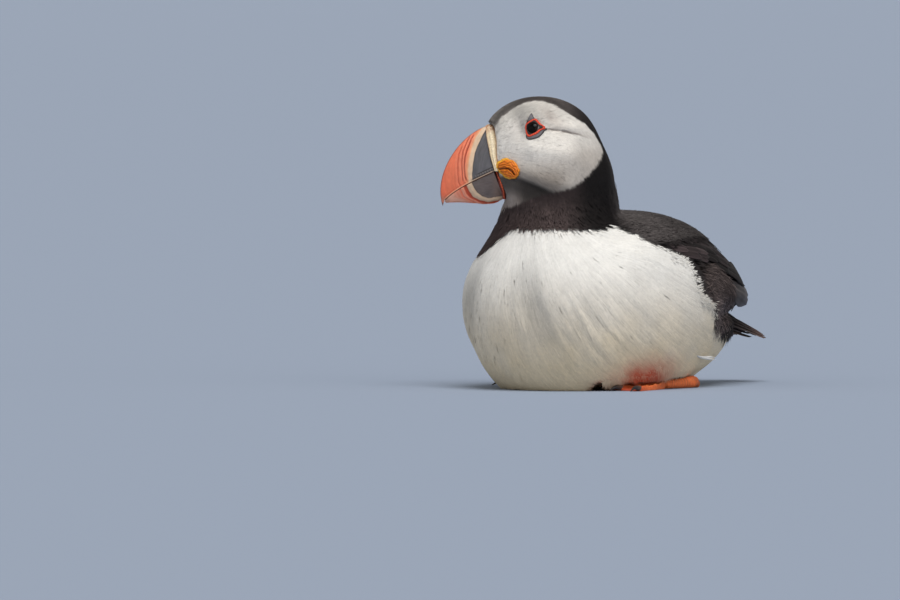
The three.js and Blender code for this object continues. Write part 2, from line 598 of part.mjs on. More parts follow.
// --- feet: the shank lies back from the toes, three webbed toes lie forward
const feet = [];
for (const f of FEET) {
  const g = new THREE.Group();
  g.position.set(f.x, f.y, 0);
  g.rotation.z = f.turn;
  root.add(g);
  // u from the joint to the claws, v from the outer toe to the inner one
  const toeAt = (u, v) => {
    const across = (v - 0.5) * 2,
      reach = FOOT.length * (1 - 0.1 * across ** 2 - 0.08 * (1 - Math.abs(Math.cos(Math.PI * 2 * v)) ** 0.5) * ease(u));
    return [-reach * u, f.out * -across * (3 + FOOT.spread * u) + f.out * 1.5 * u];
  };
  const ridge = (v) => Math.exp(-(((v - 0.06) / 0.07) ** 2)) + Math.exp(-(((v - 0.5) / 0.07) ** 2)) + Math.exp(-(((v - 0.94) / 0.07) ** 2));
  const foot = slab(
    5,
    12,
    (u, v) => [...toeAt(u, v), FOOT.web + (FOOT.toe - FOOT.web) * ridge(v) * (1 - 0.35 * u) + 1.6 * (1 - ease(u / 0.25))],
    (u, v) => [...toeAt(u, v), 0],
  );
  add(g, "foot_" + f.side, foot, "foot");
  feet.push([f, g]);
  const shank = loft(7, 8, (s, a) => {
    const r = 2.3 + 0.9 * Math.abs(s - 0.45) ** 1.5 * 2.2 - 1.2 * ease((s - 0.88) / 0.12) - 1.2 * ease((0.1 - s) / 0.1);
    return [GAP + 0.1 + FOOT.heel * s, r * 1.05 * Math.cos(a), r + r * Math.sin(a)];
  });
  add(g, "shank_" + f.side, shank, "foot");
  ["outer", "middle", "inner"].forEach((toe, i) => {
    const v = [0.06, 0.5, 0.94][i],
      [cx, cy] = toeAt(1, v),
      length = [6.2, 7, 6][i];
    const claw = loft(4, 6, (s, a) => {
      const r = 1.25 * (1 - 0.88 * s);
      return [cx - GAP - length * s, cy + r * 0.8 * Math.cos(a) + f.out * 1.4 * s * s * [1, 0.2, -0.6][i], Math.max(0, r * 1.1 * (1 + Math.sin(a)) + 0.5 * Math.sin(Math.PI * s))];
    });
    add(g, `claw_${toe}_${f.side}`, claw, "claw");
  });
}
root.updateMatrixWorld(true);
add(root, "trunk", geometryOf(largest(trunkBody)), "white");

// --- the origin: under the middle of the whole bird, on the floor
const size = new THREE.Box3().setFromObject(root, true);
root.children.forEach((c) => {
  c.position.x -= (size.min.x + size.max.x) / 2;
  c.position.y -= (size.min.y + size.max.y) / 2;
});
root.updateMatrixWorld(true);

export default root;
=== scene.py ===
# Looks for the resting Atlantic puffin: one skin under a coat of mesh feathers, with bill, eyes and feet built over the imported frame.
# Lengths are millimetres in the bird's own frame (it faces -X, its left is -Y) until they reach a mesh.
import math

import numpy as np
import bpy
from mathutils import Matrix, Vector


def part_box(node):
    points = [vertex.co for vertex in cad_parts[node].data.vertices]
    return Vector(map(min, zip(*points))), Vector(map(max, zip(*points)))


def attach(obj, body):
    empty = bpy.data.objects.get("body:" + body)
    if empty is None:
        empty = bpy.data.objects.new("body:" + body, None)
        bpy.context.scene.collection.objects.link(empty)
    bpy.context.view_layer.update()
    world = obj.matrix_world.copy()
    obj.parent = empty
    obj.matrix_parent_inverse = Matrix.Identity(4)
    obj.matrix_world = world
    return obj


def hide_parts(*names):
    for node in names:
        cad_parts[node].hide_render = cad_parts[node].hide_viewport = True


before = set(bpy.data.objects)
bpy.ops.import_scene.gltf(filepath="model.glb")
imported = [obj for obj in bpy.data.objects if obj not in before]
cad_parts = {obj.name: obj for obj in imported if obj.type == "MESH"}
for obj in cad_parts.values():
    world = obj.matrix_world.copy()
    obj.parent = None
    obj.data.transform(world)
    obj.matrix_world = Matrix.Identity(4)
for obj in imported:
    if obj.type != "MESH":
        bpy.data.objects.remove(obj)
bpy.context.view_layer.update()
RNG = np.random.default_rng(20)

# the bird's frame against the row's: the left foot's joint is at x = 6.5 + 3 sin(turn)
CX = 6.5 + 3 * math.sin(0.04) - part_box("foot_left")[1].x * 1000.0
CY = 0.0


def metres(p):
    q = np.array(p, float) - np.array([CX, CY, 0.0])
    return q * 0.001


# ------------------------------------------------------------------ form, as in the solids
TRUNK = dict(c=(-8, 0, 40), fore=62.3, aft=70, half=53, up=44.5, down=57)
LOIN = dict(c=(28, 0, 42), fore=50, aft=46.5, half=40, up=39.5, down=39)
VENT = dict(c=(46, 0, 31), fore=30, aft=27.5, half=28, up=20, down=25)
SKULL = dict(c=(-3.5, 0, 0), fore=24, aft=29, half=20, up=26.4, down=27)
BROW = dict(c=(-11, 0, 5), fore=19.6, aft=20, half=15.5, up=18.6, down=22)
CHEEK = dict(c=(2, 0, -9), fore=24, aft=23, half=21, up=14, down=17)
HEAD_AT = np.array([-33.0, 2.0, 113.5])
TURN = math.radians(39)
CT, ST = math.cos(TURN), math.sin(TURN)
FEET = [("left", 6.5, -35.5, 0.04, -1), ("right", 6.0, 33.5, -0.05, 1)]


def clamp(v, a=0.0, b=1.0):
    return np.minimum(b, np.maximum(a, v))


def ease(v):
    v = clamp(v)
    return v * v * (3 - 2 * v)


def smin(a, b, k):
    h = clamp(0.5 + 0.5 * (b - a) / k)
    return b + (a - b) * h - k * h * (1 - h)


def egg(dx, dy, dz, fore, aft, half, up, down, n=2.0):
    rx = np.where(dx < 0, fore, aft)
    rz = np.where(dz > 0, up, down)
    ax, ay, az = np.abs(dx) / rx, np.abs(dy) / half, np.abs(dz) / rz
    if isinstance(n, float) and n == 2.0:
        k0 = np.sqrt(ax * ax + ay * ay + az * az)
        g = np.sqrt((ax / rx) ** 2 + (ay / half) ** 2 + (az / rz) ** 2) / np.maximum(k0, 1e-6)
    else:
        k0 = (ax**n + ay**n + az**n) ** (1 / n)
        g = np.sqrt((ax ** (n - 1) / rx) ** 2 + (ay ** (n - 1) / half) ** 2 + (az ** (n - 1) / rz) ** 2) / np.maximum(k0, 1e-6) ** (n - 1)
    return (k0 - 1) / np.maximum(g, 1e-6)


def part(s, x, y, z, n=2.0):
    return egg(x - s["c"][0], y - s["c"][1], z - s["c"][2], s["fore"], s["aft"], s["half"], s["up"], s["down"], n)


def to_head(P):
    d = P - HEAD_AT
    return np.stack([d[:, 0] * CT - d[:, 1] * ST, d[:, 0] * ST + d[:, 1] * CT, d[:, 2]], 1)


def from_head(H):
    H = np.atleast_2d(np.asarray(H, float))
    return np.stack([H[:, 0] * CT + H[:, 1] * ST, -H[:, 0] * ST + H[:, 1] * CT, H[:, 2]], 1) + HEAD_AT


def turn_head(D):
    D = np.atleast_2d(np.asarray(D, float))
    return np.stack([D[:, 0] * CT + D[:, 1] * ST, -D[:, 0] * ST + D[:, 1] * CT, D[:, 2]], 1)


def head_local(H):
    w = 1 + 0.42 * ease((-5 - H[:, 0]) / 22)
    x, y, z = H[:, 0], H[:, 1] * w, H[:, 2]
    return smin(smin(part(SKULL, x, y, z, 2.1), part(BROW, x, y, z), 4), part(CHEEK, x, y, z), 7)


def wing_axes(side):
    a, b = np.array([-24.0, side * 36, 67]), np.array([79.0, side * 10, 45])
    e1 = (b - a) / np.linalg.norm(b - a)
    e3 = np.array([0.25, side * 0.66, 0.72])
    e3 -= (e3 @ e1) * e1
    e3 /= np.linalg.norm(e3)
    return (a + b) / 2, e1, np.cross(e3, e1), e3


WINGS = {-1: wing_axes(-1), 1: wing_axes(1)}


def wing_local(P, side):
    c, e1, e2, e3 = WINGS[side]
    d = P - c
    return np.stack([d @ e1, d @ e2, d @ e3], 1)


def wing_field(P, side, aft=55.0):
    q = wing_local(P, side)
    return egg(q[:, 0], q[:, 1], -q[:, 2], 54.0, aft, 26.0, 12.0, 14.0, 2.15)


def body_field(P, only=None):
    x, y, z = P[:, 0], P[:, 1], P[:, 2]
    n = 2 + 0.14 * ease((z - 15) / 45)
    d = smin(smin(part(TRUNK, x, y, z, n), part(LOIN, x, y, z), 10), part(VENT, x, y, z), 8)
    if only == "plain":
        return d
    pocket = np.full(len(P), 1e9)
    for _, fx, fy, _, out in FEET:
        pocket = np.minimum(pocket, egg(x - fx, y - fy - out * 4, z, 42.0, 33.0, 22.0, 7.4, 7.4, 2.8))
    d = np.maximum(d, -pocket)
    a, b = np.array([-25.2, 2, 96]), np.array([-23.5, 0, 60])
    ab = b - a
    t = clamp(((P - a) @ ab) / (ab @ ab))
    neck = np.linalg.norm(P - a - t[:, None] * ab, axis=1) - (26.9 + 2.1 * t)
    d = smin(d, neck, 4 + 14 * clamp((-8 - x) / 25))
    d = smin(d, head_local(to_head(P)), 9)
    d = smin(d, wing_field(P, -1), 5)
    return smin(d, wing_field(P, 1), 5)


def feather_line(hz):
    return -24.3 - 0.8 * ease((hz - 4) / 7) - 3.6 * ease((hz - 11.6) / 3.6) + 1.0 * ease((-2 - hz) / 7) + 3.9 * ease((-10.5 - hz) / 12)


EYE_H = np.array([-7.5, 0.0, 12.3])  # eye, in the head's frame (side view)


def crease_z(hx):
    return 11.0 - 0.12 * (hx + 0.8) - 0.0032 * (hx + 0.8) ** 2


def jaw_z(hx):
    return np.interp(hx, [-19, -14, -9.4, -5.7, -1.2, 4, 10], [-10.8, -11.9, -13.6, -15.2, -17.2, -18.6, -18.9])


def bump_gauss(v, s):
    return np.exp(-((v / s) ** 2))


def sculpt(H):
    """Folds of the face, in mm inwards. H is in the head's frame."""
    hx, hy, hz = H[:, 0], np.abs(H[:, 1]), H[:, 2]
    side = ease((hy - 6) / 6)
    d = hz - crease_z(hx)
    run = ease((hx + 3.5) / 3) * ease((17 - hx) / 13)
    s = 0.62 * bump_gauss(d, 0.6) * run
    s -= 0.95 * bump_gauss(d - 2.8, 2.2) * ease((hx + 1) / 6) * ease((20 - hx) / 9)
    s -= 0.6 * bump_gauss(d + 3.6, 2.6) * ease((hx + 9) / 8) * ease((18 - hx) / 12)
    s -= 1.9 * bump_gauss(d + 9.2, 5.4) * ease((hx + 18) / 10) * ease((21 - hx) / 13) - 0.5
    # the lore falls in before the eye, and a dimple lies over it
    s += 2.1 * np.exp(-(((hx + 13.2) / 3.3) ** 2) - (((hz - 11.5) / 6.6) ** 2))
    s += 1.1 * np.exp(-(((hx + 7.6) / 2.7) ** 2) - (((hz - 19.0) / 2.8) ** 2))
    s -= 0.6 * np.exp(-(((hx + 0.5) / 5) ** 2) - (((hz - 17.5) / 3.5) ** 2))
    # the cheek overhangs the throat
    j = hz - jaw_z(hx)
    jrun = ease((hx + 19) / 4) * ease((6 - hx) / 7)
    s += 1.15 * ease((0.8 - j) / 3.2) * jrun * ease((j + 14) / 9)
    s -= 0.85 * bump_gauss(j - 3.4, 3.4) * ease((hx + 19) / 6) * ease((16 - hx) / 10)
    return s * side


def coat_field(P):
    """Outline of the plumage: negative inside."""
    H = to_head(P)
    d = body_field(P)
    near = (P[:, 2] > 78) & (P[:, 0] < 5)
    if near.any():
        d = d.copy()
        d[near] += sculpt(H[near])
        # feathers end at the bill
        hz = H[near, 2]
        wall = feather_line(hz) - H[near, 0]
        low = -19.6 - 0.42 * (-24.5 - hz)
        wall = np.where(hz < -24.5, np.minimum(low - H[near, 0], wall), wall)
        d[near] = -smin(-d[near], -(wall - 0.2), 0.9)
    # the body falls in between the wing's tip and the tail, and a shallow furrow runs down the breast
    u = 0.743 * P[:, 0] + 0.669 * np.abs(P[:, 1])
    d = d + 5.0 * np.exp(-(((P[:, 2] - 36.0) / 4.6) ** 2)) * ease((u - 50) / 12) * ease((P[:, 0] - 34) / 14)
    y = np.abs(P[:, 1])
    d = d + 1.1 * np.exp(-(((y - 21 + 0.22 * (P[:, 2] - 42)) / 5.5) ** 2) - (((P[:, 2] - 43) / 17) ** 2)) * ease((-40 - P[:, 0]) / 10)
    d = d - 0.9 * np.exp(-(((y - 33 + 0.15 * (P[:, 2] - 42)) / 6.5) ** 2) - (((P[:, 2] - 40) / 17) ** 2)) * ease((-30 - P[:, 0]) / 12)
    return np.maximum(d, -P[:, 2])


def grad(f, P, e=0.25, f0=None):
    if f0 is None:
        f0 = f(P)
    g = np.stack([f(P + np.eye(3)[i] * e) - f0 for i in range(3)], 1) / e
    return f0, g


def settle(P, level=0.0, steps=2, f=coat_field):
    for _ in range(steps):
        f0, g = grad(f, P)
        P = P - ((f0 - level) / np.maximum((g**2).sum(1), 1e-6))[:, None] * g
    return P


def unit(v):
    return v / np.maximum(np.linalg.norm(v, axis=1), 1e-9)[:, None]


def normals_at(P, f=coat_field):
    return unit(grad(f, P, 0.4)[1])


# ------------------------------------------------------------------ where the coat lies, how deep, how it runs
def depth_at(P):
    """Depth of the coat over the skin."""
    H = to_head(P)
    head = ease((H[:, 2] + 30) / 14) * ease((P[:, 2] - 86) / 12)
    d = 1.65 + 0 * head
    d = d * (1 - 0.15 * ease((P[:, 2] - 70) / 14))
    d = d + (0.55 - d) * head
    d = d - (d - 1.4) * ease((7 - P[:, 2]) / 6)
    # and along the border of the markings
    d = d * (1 - 0.55 * bump_gauss(P[:, 2] - black_line(P) + 1.5, 5.0))
    # the coat thins where it meets the bill
    edge = ease((H[:, 0] - feather_line(H[:, 2]) - 0.3) / 5)
    d = np.where(head > 0.5, 0.35 + (d - 0.35) * edge, d)
    return d


def skin_field(P):
    return coat_field(P) + depth_at(P)


def flow(P, Nn):
    """Unit direction in which the feathers lie at P."""
    x, y, z = P[:, 0], P[:, 1], P[:, 2]
    side = np.where(y < 0, -1.0, 1.0)
    phi = np.arctan2(np.abs(y) / 53, -(x + 8) / 65)
    beta = np.radians(np.interp(np.degrees(phi), [0, 45, 75, 95, 130, 180], [90, 60, 42, 30, 12, 0]))
    around = np.stack([np.sin(phi), side * np.cos(phi), 0 * x], 1)
    around[:, 1] *= 1.0
    F = np.cos(beta)[:, None] * around + np.stack([0 * x, 0 * x, -np.sin(beta)], 1)
    tail = unit(np.array([84.0, 0, 29]) - P)
    w = ease((x - 16) / 44)[:, None]
    F = F * (1 - w) + tail * w
    top = ease((Nn[:, 2] - 0.25) / 0.4)[:, None] * ease((x + 45) / 25)[:, None]
    F = F * (1 - top) + np.stack([1 + 0 * x, 0.12 * side, -0.25 + 0 * x], 1) * top
    low = ease((-0.45 - Nn[:, 2]) / 0.4)[:, None]
    F = F * (1 - low) + np.array([1.0, 0, 0.1]) * low
    neck = ease((z - 74) / 12)[:, None] * ease((6 - x) / 12)[:, None]
    F = F * (1 - neck) + np.array([0.22, 0.0, -1.0]) * neck
    H = to_head(P)
    Fh = H - np.array([-36.0, 0, 1.5])
    Fh[:, 2] -= 52 * ease((H[:, 0] - 2) / 26)
    Fh[:, 1] *= 1.15
    head = ease((H[:, 2] + 26) / 20)[:, None] * ease((z - 88) / 8)[:, None]
    F = F * (1 - head) + turn_head(unit(Fh)) * head
    F = F - (F * Nn).sum(1)[:, None] * Nn
    return unit(F)


# ------------------------------------------------------------------ noise
def lattice(i, j, k, seed):
    h = (i * 374761393 + j * 668265263 + k * 2147483647 + seed * 1274126177) & 0xFFFFFFFF
    h = ((h ^ (h >> 13)) * 1103515245) & 0xFFFFFFFF
    return ((h ^ (h >> 16)) & 0xFFFF) / 65535.0


def noise(P, scale, seed=0):
    q = P / scale
    b = np.floor(q).astype(np.int64)
    t = q - b
    t = t * t * (3 - 2 * t)
    out = np.zeros(len(P))
    for c in range(8):
        o = np.array([c & 1, (c >> 1) & 1, (c >> 2) & 1])
        w = np.prod(np.where(o == 1, t, 1 - t), axis=1)
        out += w * lattice(b[:, 0] + o[0], b[:, 1] + o[1], b[:, 2] + o[2], seed)
    return out


def streaks(P, D, scale, reach, seed, n=7):
    """Noise drawn out along D. About -1 to 1."""
    s = sum(noise(P + D * t, scale, seed) for t in np.linspace(-reach, reach, n)) / n
    return clamp((s - 0.5) * 2.6 * math.sqrt(n) / 2, -1.2, 1.2)


# ------------------------------------------------------------------ markings, shared by skin and coat
FACE = np.array(
    [(-24.8, 12.6), (-22.1, 16.6), (-18.7, 19.2), (-14.9, 21.6), (-11.7, 23.1), (-7.6, 24.2), (-3.6, 24.2), (0.5, 23.1), (4.6, 21.3), (8.7, 18.9), (12.9, 16.3),
     (17, 14.1), (20.7, 10.6), (23.2, 7.1), (25.3, 3.8), (26.2, 0.7), (25.2, -2.4), (22.3, -6.4), (19.1, -9.7), (16, -12.5), (12.7, -14.9), (8.5, -16.8),
     (2.5, -18.2), (-3.7, -19.7), (-7.8, -21), (-11.9, -22.8), (-16, -24.9), (-19.4, -26), (-26, -28), (-40, -20), (-40, 12.9)]
)


def face_distance(hx, hz):
    """Distance inside the pale face patch, negative outside."""
    p = np.stack([hx, hz], 1)
    best = np.full(len(p), 1e9)
    inside = np.zeros(len(p), bool)
    n = len(FACE)
    for i in range(n):
        a, b = FACE[i], FACE[(i + 1) % n]
        ab = b - a
        t = clamp(((p - a) @ ab) / (ab @ ab))
        best = np.minimum(best, np.linalg.norm(p - a - t[:, None] * ab, axis=1))
        cross = (a[1] > p[:, 1]) != (b[1] > p[:, 1])
        if abs(b[1] - a[1]) > 1e-9:
            inside ^= cross & (p[:, 0] < (b[0] - a[0]) * (p[:, 1] - a[1]) / (b[1] - a[1]) + a[0])
    return np.where(inside, best, -best)


def black_line(P):
    """Height at which the dark upper side meets the white underside."""
    x, y = P[:, 0], P[:, 1]
    collar = 77.0 - 13.5 * ease((y + 2) / 28)
    collar = collar + 7 * ease((x + 52) / 34) * ease(y / 20)
    flank = np.interp(
        x,
        [-32, -21, -17.5, -11, -7, 5, 12.6, 14.6, 16.0, 18.6, 29.0, 32.6, 34.6, 45, 58, 70],
        [77, 77.3, 74.8, 72, 68.8, 65.3, 62.2, 57, 50, 45.4, 41.5, 36, 30.5, 27.5, 27.5, 27.5],
    )
    w = ease((x + 34) / 14)
    return collar * (1 - w) + flank * w


def mantle_edge(P):
    """How far P lies ahead of the soft hind edge of the scapulars, in mm; negative over the bare wing."""
    q = wing_local(np.where(P[:, 1:2] > 0, P * [1, -1, 1], P), -1)
    return np.minimum(-22 + 3.4 * q[:, 1], 16) - q[:, 0]


WHITE = np.array([0.83, 0.815, 0.785])
DARK = np.array([0.0150, 0.0125, 0.0130])
# the mantle's black, painted lighter: painted sheen of its top-lit feathers
MANTLE_WITH_SHEEN = np.array([0.050, 0.044, 0.044])
COLLAR = np.array([0.050, 0.036, 0.0355])
FLUFF = np.array([0.052, 0.040, 0.038])


def mix(a, b, t):
    return a * (1 - t[:, None]) + b * t[:, None]


def coat_colour(P, rough=1.0, shift=0.0):
    """Colour of the plumage at P, linear, with a ragged border of about `rough` mm."""
    n = len(P)
    wob = (noise(P, 1.6, 5) - 0.5) * 2 * rough + (noise(P, 0.7, 6) - 0.5) * rough
    H = to_head(P)
    hx, hz = H[:, 0], H[:, 2]
    # trunk
    over = P[:, 2] + wob * 1.3 - black_line(P) - shift
    k = ease(over / 1.2 + 0.5)
    # the white warms towards the bottom: partly a dirty yellowish tone, partly painted warm light bounced up from below
    dirt_and_bounce = ease((66 - P[:, 2]) / 66)
    white = mix(np.tile(WHITE, (n, 1)), np.tile([0.84, 0.70, 0.485], (n, 1)), clamp(dirt_and_bounce * (0.95 + 0.35 * noise(P, 9, 8))))
    y = np.abs(P[:, 1])
    # painted shade: the white is darkened along the shallow furrow down the breast
    furrow = bump_gauss(y - 22 + 0.22 * (P[:, 2] - 42), 9.0) * bump_gauss(P[:, 2] - 45, 19) * ease((-32 - P[:, 0]) / 14)
    white = white * (1 - 0.30 * furrow)[:, None]
    stain = np.exp(-(((P[:, 0] + 9) / 17) ** 2) - (((P[:, 2] - 6) / 8.5) ** 2)) * ease((np.abs(P[:, 1]) - 22) / 12)
    white = mix(white, np.tile([0.56, 0.115, 0.06], (n, 1)), clamp(stain * 1.25 * (0.55 + 0.6 * noise(P, 3, 9))) * (P[:, 1] < 0))
    # painted shade: the underside over the feet is painted dark red, for the shade there and the red light it takes
    # from the feet
    under = ease((6.5 - P[:, 2]) / 2.5) * ease((np.abs(P[:, 1]) - 20) / 6) * ease((P[:, 0] + 38) / 6) * ease((42 - P[:, 0]) / 6)
    white = mix(white, np.tile([0.42, 0.08, 0.045], (n, 1)), under * 0.85)
    white = mix(white, np.tile([0.62, 0.5, 0.42], (n, 1)), clamp(stain * 0.5) * (P[:, 1] > 0))
    # a few small specks on the breast
    sp = np.exp(-(((P[:, 1] + 6) / 8) ** 2) - (((P[:, 2] - 27) / 10) ** 2)) * (P[:, 0] < -45)
    white = mix(white, np.tile([0.30, 0.22, 0.15], (n, 1)), clamp((noise(P * [1, 1, 0.6], 1.5, 31) - 0.80) * 5) * clamp(sp * 1.6) * 0.45)
    fluffy = np.exp(-(((P[:, 0] - 40) / 18) ** 4) - (((P[:, 2] - 44) / 15) ** 4))
    black = mix(np.tile(DARK, (n, 1)), np.tile(FLUFF, (n, 1)), clamp(fluffy))
    mottle = 0.75 + 0.5 * noise(P * [0.6, 1, 1], 3.4, 14)
    # painted sheen: the mantle is painted lighter than the wing, with mottling, and darker towards the rear
    black = mix(black, np.tile(MANTLE_WITH_SHEEN, (n, 1)) * (mottle * (1 - 0.34 * ease((P[:, 0] - 10) / 18)))[:, None], ease((mantle_edge(P) + 2) / 5) * ease((P[:, 0] + 22) / 14))
    # painted sheen: the coat under the primaries' round tips is painted grey like them
    black = mix(black, np.tile([0.060, 0.056, 0.060], (n, 1)), 0.85 * ease((0.743 * P[:, 0] + 0.669 * y - 63.5) / 4) * ease((P[:, 2] - 37) / 3) * (1 - ease((P[:, 2] - 49) / 5)))
    # painted shade: the collar darkens towards the nape, where it lies in the head's shade
    nape_shade = ease((hx - 4) / 16) * ease((P[:, 2] - 62) / 10)
    front = ease((-6 - P[:, 0]) / 14)
    collar = mix(np.tile(COLLAR, (n, 1)), np.tile(DARK * 0.62, (n, 1)), nape_shade)
    speck = 0.72 + 0.30 * noise(P * [1, 1, 1.6], 4.5, 15) + 0.34 * noise(P, 1.1, 16) + 0.5 * ease((noise(P * [1, 1, 0.7], 1.3, 17) - 0.66) / 0.2) * (1 - nape_shade)
    black = mix(black, collar * speck[:, None], front)
    # painted shadow in the slot under the scapulars
    slot = np.exp(-(((P[:, 0] - 2.5) / 9) ** 2) - (((P[:, 2] - 69.6 + 0.11 * P[:, 0]) / 1.3) ** 2)) * (P[:, 1] < -36)
    black = black * (1 - 0.75 * clamp(slot))[:, None]
    c = mix(white, black, k)
    # head
    inside = face_distance(hx, hz) + wob * 0.42
    face = ease(inside / 0.7 + 0.5)
    face = face * ease((P[:, 2] - 84) / 2)
    grey = np.tile([0.845, 0.808, 0.76], (n, 1))
    # the face greys towards the rear and the lower cheek: partly the feathers' own grey, partly painted shade
    low = ease((hx + 3) / 22) * ease((9 - hz) / 12) * (1 - 0.7 * bump_gauss(hz - 5, 4.5) * ease((16 - hx) / 10))
    grey = mix(grey, np.tile([0.565, 0.51, 0.46], (n, 1)), 0.85 * low)
    cheek = ease((2.5 - hz) / 13) * ease((hx + 21) / 5)
    grey = mix(grey, np.tile([0.56, 0.515, 0.475], (n, 1)), 0.85 * cheek)
    # brownish-grey streaks over the eye: partly the feathers' own streaks, partly painted shade under the brow
    ba, bb = (hx - 0.6) * 0.65 - (hz - 16.6) * 0.76, (hx - 0.6) * 0.76 + (hz - 16.6) * 0.65
    brow = np.exp(-((ba / 6.4) ** 2) - ((bb / 3.0) ** 2)) * (0.75 + 0.5 * noise(np.stack([ba * 0.4, 0 * hx, bb], 1), 1.0, 18))
    grey = mix(grey, np.tile([0.44, 0.38, 0.35], (n, 1)), clamp(0.66 * brow))
    # painted shade above the crease, under the bulge that overhangs it
    over = hz - crease_z(hx)
    grey = mix(grey, np.tile([0.50, 0.44, 0.40], (n, 1)), 0.6 * np.exp(-(clamp(over, 0, 9) / 1.7)) * (over > -0.2) * ease((hx + 2) / 3) * ease((24 - hx) / 9))
    # painted shade in the hollow before the eye, above its front and at the face's front edge by the cere
    grey = mix(grey, np.tile([0.50, 0.47, 0.45], (n, 1)), 0.25 * np.exp(-(((hx + 15.5) / 3.6) ** 2) - (((hz - 12) / 7) ** 2)))
    grey = mix(grey, np.tile([0.42, 0.395, 0.38], (n, 1)), 0.72 * np.exp(-(((hx + 12.7) / 2.5) ** 2) - (((hz - 12.0) / 5.6) ** 2)))
    grey = grey * (1 - 0.36 * np.exp(-(((hx + 13) / 7.5) ** 2) - (((hz - 19.0) / 5) ** 2)) - 0.42 * np.exp(-(((hx + 25) / 3.4) ** 2) - (((hz - 13) / 5) ** 2)))[:, None]
    # the lower cheek darkens downwards: partly its own grey, partly painted shade under the cheek
    grey = grey * (1 - 0.57 * ease((-1.2 - hz) / 13) * ease((13 - hx) / 12) * ease((hx + 21) / 6))[:, None] ** np.array([0.94, 1.0, 1.05])
    # the rear of the face a little darker: partly greyer feathers, partly painted shade where the head turns away
    rear = ease((hx - 3) / 16) * ease((20 - hz) / 8)
    grey = grey * (1 - 0.11 * rear)[:, None]
    # painted shade: the face darkens upwards towards the cap
    grey = grey * (1 - 0.23 * ease((hz - 13.5) / 6))[:, None]
    # painted shade: a grey ring round the eye, which sits in a hollow
    grey = mix(grey, np.tile([0.36, 0.34, 0.33], (n, 1)), 0.45 * np.exp(-(((np.hypot(hx + 8.0, hz - 12.2) - 4.6) / 1.5) ** 2)))
    # the throat under the jaw is dark grey: partly its own grey plumage, partly painted shade under the cheek's
    # overhang, darkest close under the jaw
    below = jaw_z(hx) - hz
    throat = ease((below + 1.2) / 2.6) * ease((8 - hx) / 9)
    deep = np.exp(-(clamp(below - 0.3, 0, 40) / 3.0)) * np.exp(-(((hx + 5.5) / 6.5) ** 2))
    tone = 0.060 + 0.28 * ease((below - 4.5) / 8) * ease((-9 - hx) / 9) + 0.06 * ease((-11 - hx) / 7)
    tone = tone * (1 - 0.50 * deep)
    grey = mix(grey, tone[:, None] * np.array([1.0, 0.86, 0.79]), throat)
    # painted shade: a dark line along the crease behind the eye
    near_cr = bump_gauss(hz - crease_z(hx) - 0.05, 0.34) * ease((hx + 2.6) / 1.5) * ease((22 - hx) / 15)
    grey = mix(grey, np.tile([0.20, 0.16, 0.145], (n, 1)), clamp(near_cr * 0.8))
    cap_t = ease((hx + 27) / 17)
    cap = mix(np.tile([0.215, 0.195, 0.185], (n, 1)), np.tile([0.098, 0.084, 0.081], (n, 1)), cap_t)
    cap = mix(cap, np.tile([0.022, 0.0185, 0.019], (n, 1)), ease((hx - 2) / 16))
    # painted shadow: a dark band in the cap along the border of the face
    cap = cap * (1 - 0.45 * bump_gauss(inside + 1.5, 1.3) * ease((12 - hx) / 10))[:, None]
    cap = cap * (0.85 + 0.3 * noise(P, 0.9, 19))[:, None]
    is_head = ease((P[:, 2] - 98 - 0.15 * (P[:, 0] + 33)) / 6)
    c = mix(c, cap, is_head * ease((hz + 4) / 8))
    return mix(c, grey, face)


# ------------------------------------------------------------------ meshes
SHADERS = {}


def make_mesh(name, V, F, material=None, colour=None, uv=None, custom=None, smooth=True, extra=None):
    """V in bird mm (n,3); F a list of (m,k) index arrays; colour per vertex; uv per vertex; custom normals per vertex."""
    F = [np.asarray(f) for f in (F if isinstance(F, list) else [F])]
    F = [f for f in F if len(f)]
    me = bpy.data.meshes.new(name)
    co = metres(V).astype(np.float32)
    me.vertices.add(len(co))
    me.vertices.foreach_set("co", co.ravel())
    loops = np.concatenate([f.ravel() for f in F]).astype(np.int32)
    sizes = np.concatenate([np.full(len(f), f.shape[1]) for f in F]).astype(np.int32)
    me.loops.add(len(loops))
    me.loops.foreach_set("vertex_index", loops)
    me.polygons.add(len(sizes))
    starts = np.concatenate([[0], np.cumsum(sizes)[:-1]]).astype(np.int32)
    me.polygons.foreach_set("loop_start", starts)
    me.update(calc_edges=True)
    me.polygons.foreach_set("use_smooth", np.full(len(sizes), smooth, dtype=bool))
    if colour is not None:
        a = me.color_attributes.new("coat", "FLOAT_COLOR", "POINT")
        rgba = np.ones((len(co), 4), np.float32)
        rgba[:, :3] = colour
        a.data.foreach_set("color", rgba.ravel())
    for key, val in (extra or {}).items():
        a = me.attributes.new(key, "FLOAT", "POINT")
        a.data.foreach_set("value", np.asarray(val, np.float32))
    if uv is not None:
        layer = me.uv_layers.new(name="OFBake")
        u = uv[loops] if len(uv) == len(co) else uv
        layer.data.foreach_set("uv", np.asarray(u, np.float32).ravel())
    if custom is not None:
        me.normals_split_custom_set_from_vertices(unit(custom).astype(np.float32))
    me.validate(clean_customdata=False)
    ob = bpy.data.objects.new(name, me)
    bpy.context.scene.collection.objects.link(ob)
    if material:
        me.materials.append(material)
    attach(ob, "root")
    return ob


def grid_faces(nu, nv, wrap_u=False, wrap_v=False, base=0, flip=False):
    """Quads over vertices laid out as i * nv + j."""
    i = np.arange(nu if wrap_u else nu - 1)
    j = np.arange(nv if wrap_v else nv - 1)
    I, J = np.meshgrid(i, j, indexing="ij")
    I2, J2 = (I + 1) % nu, (J + 1) % nv
    q = np.stack([I * nv + J, I2 * nv + J, I2 * nv + J2, I * nv + J2], -1).reshape(-1, 4) + base
    return q[:, ::-1] if flip else q


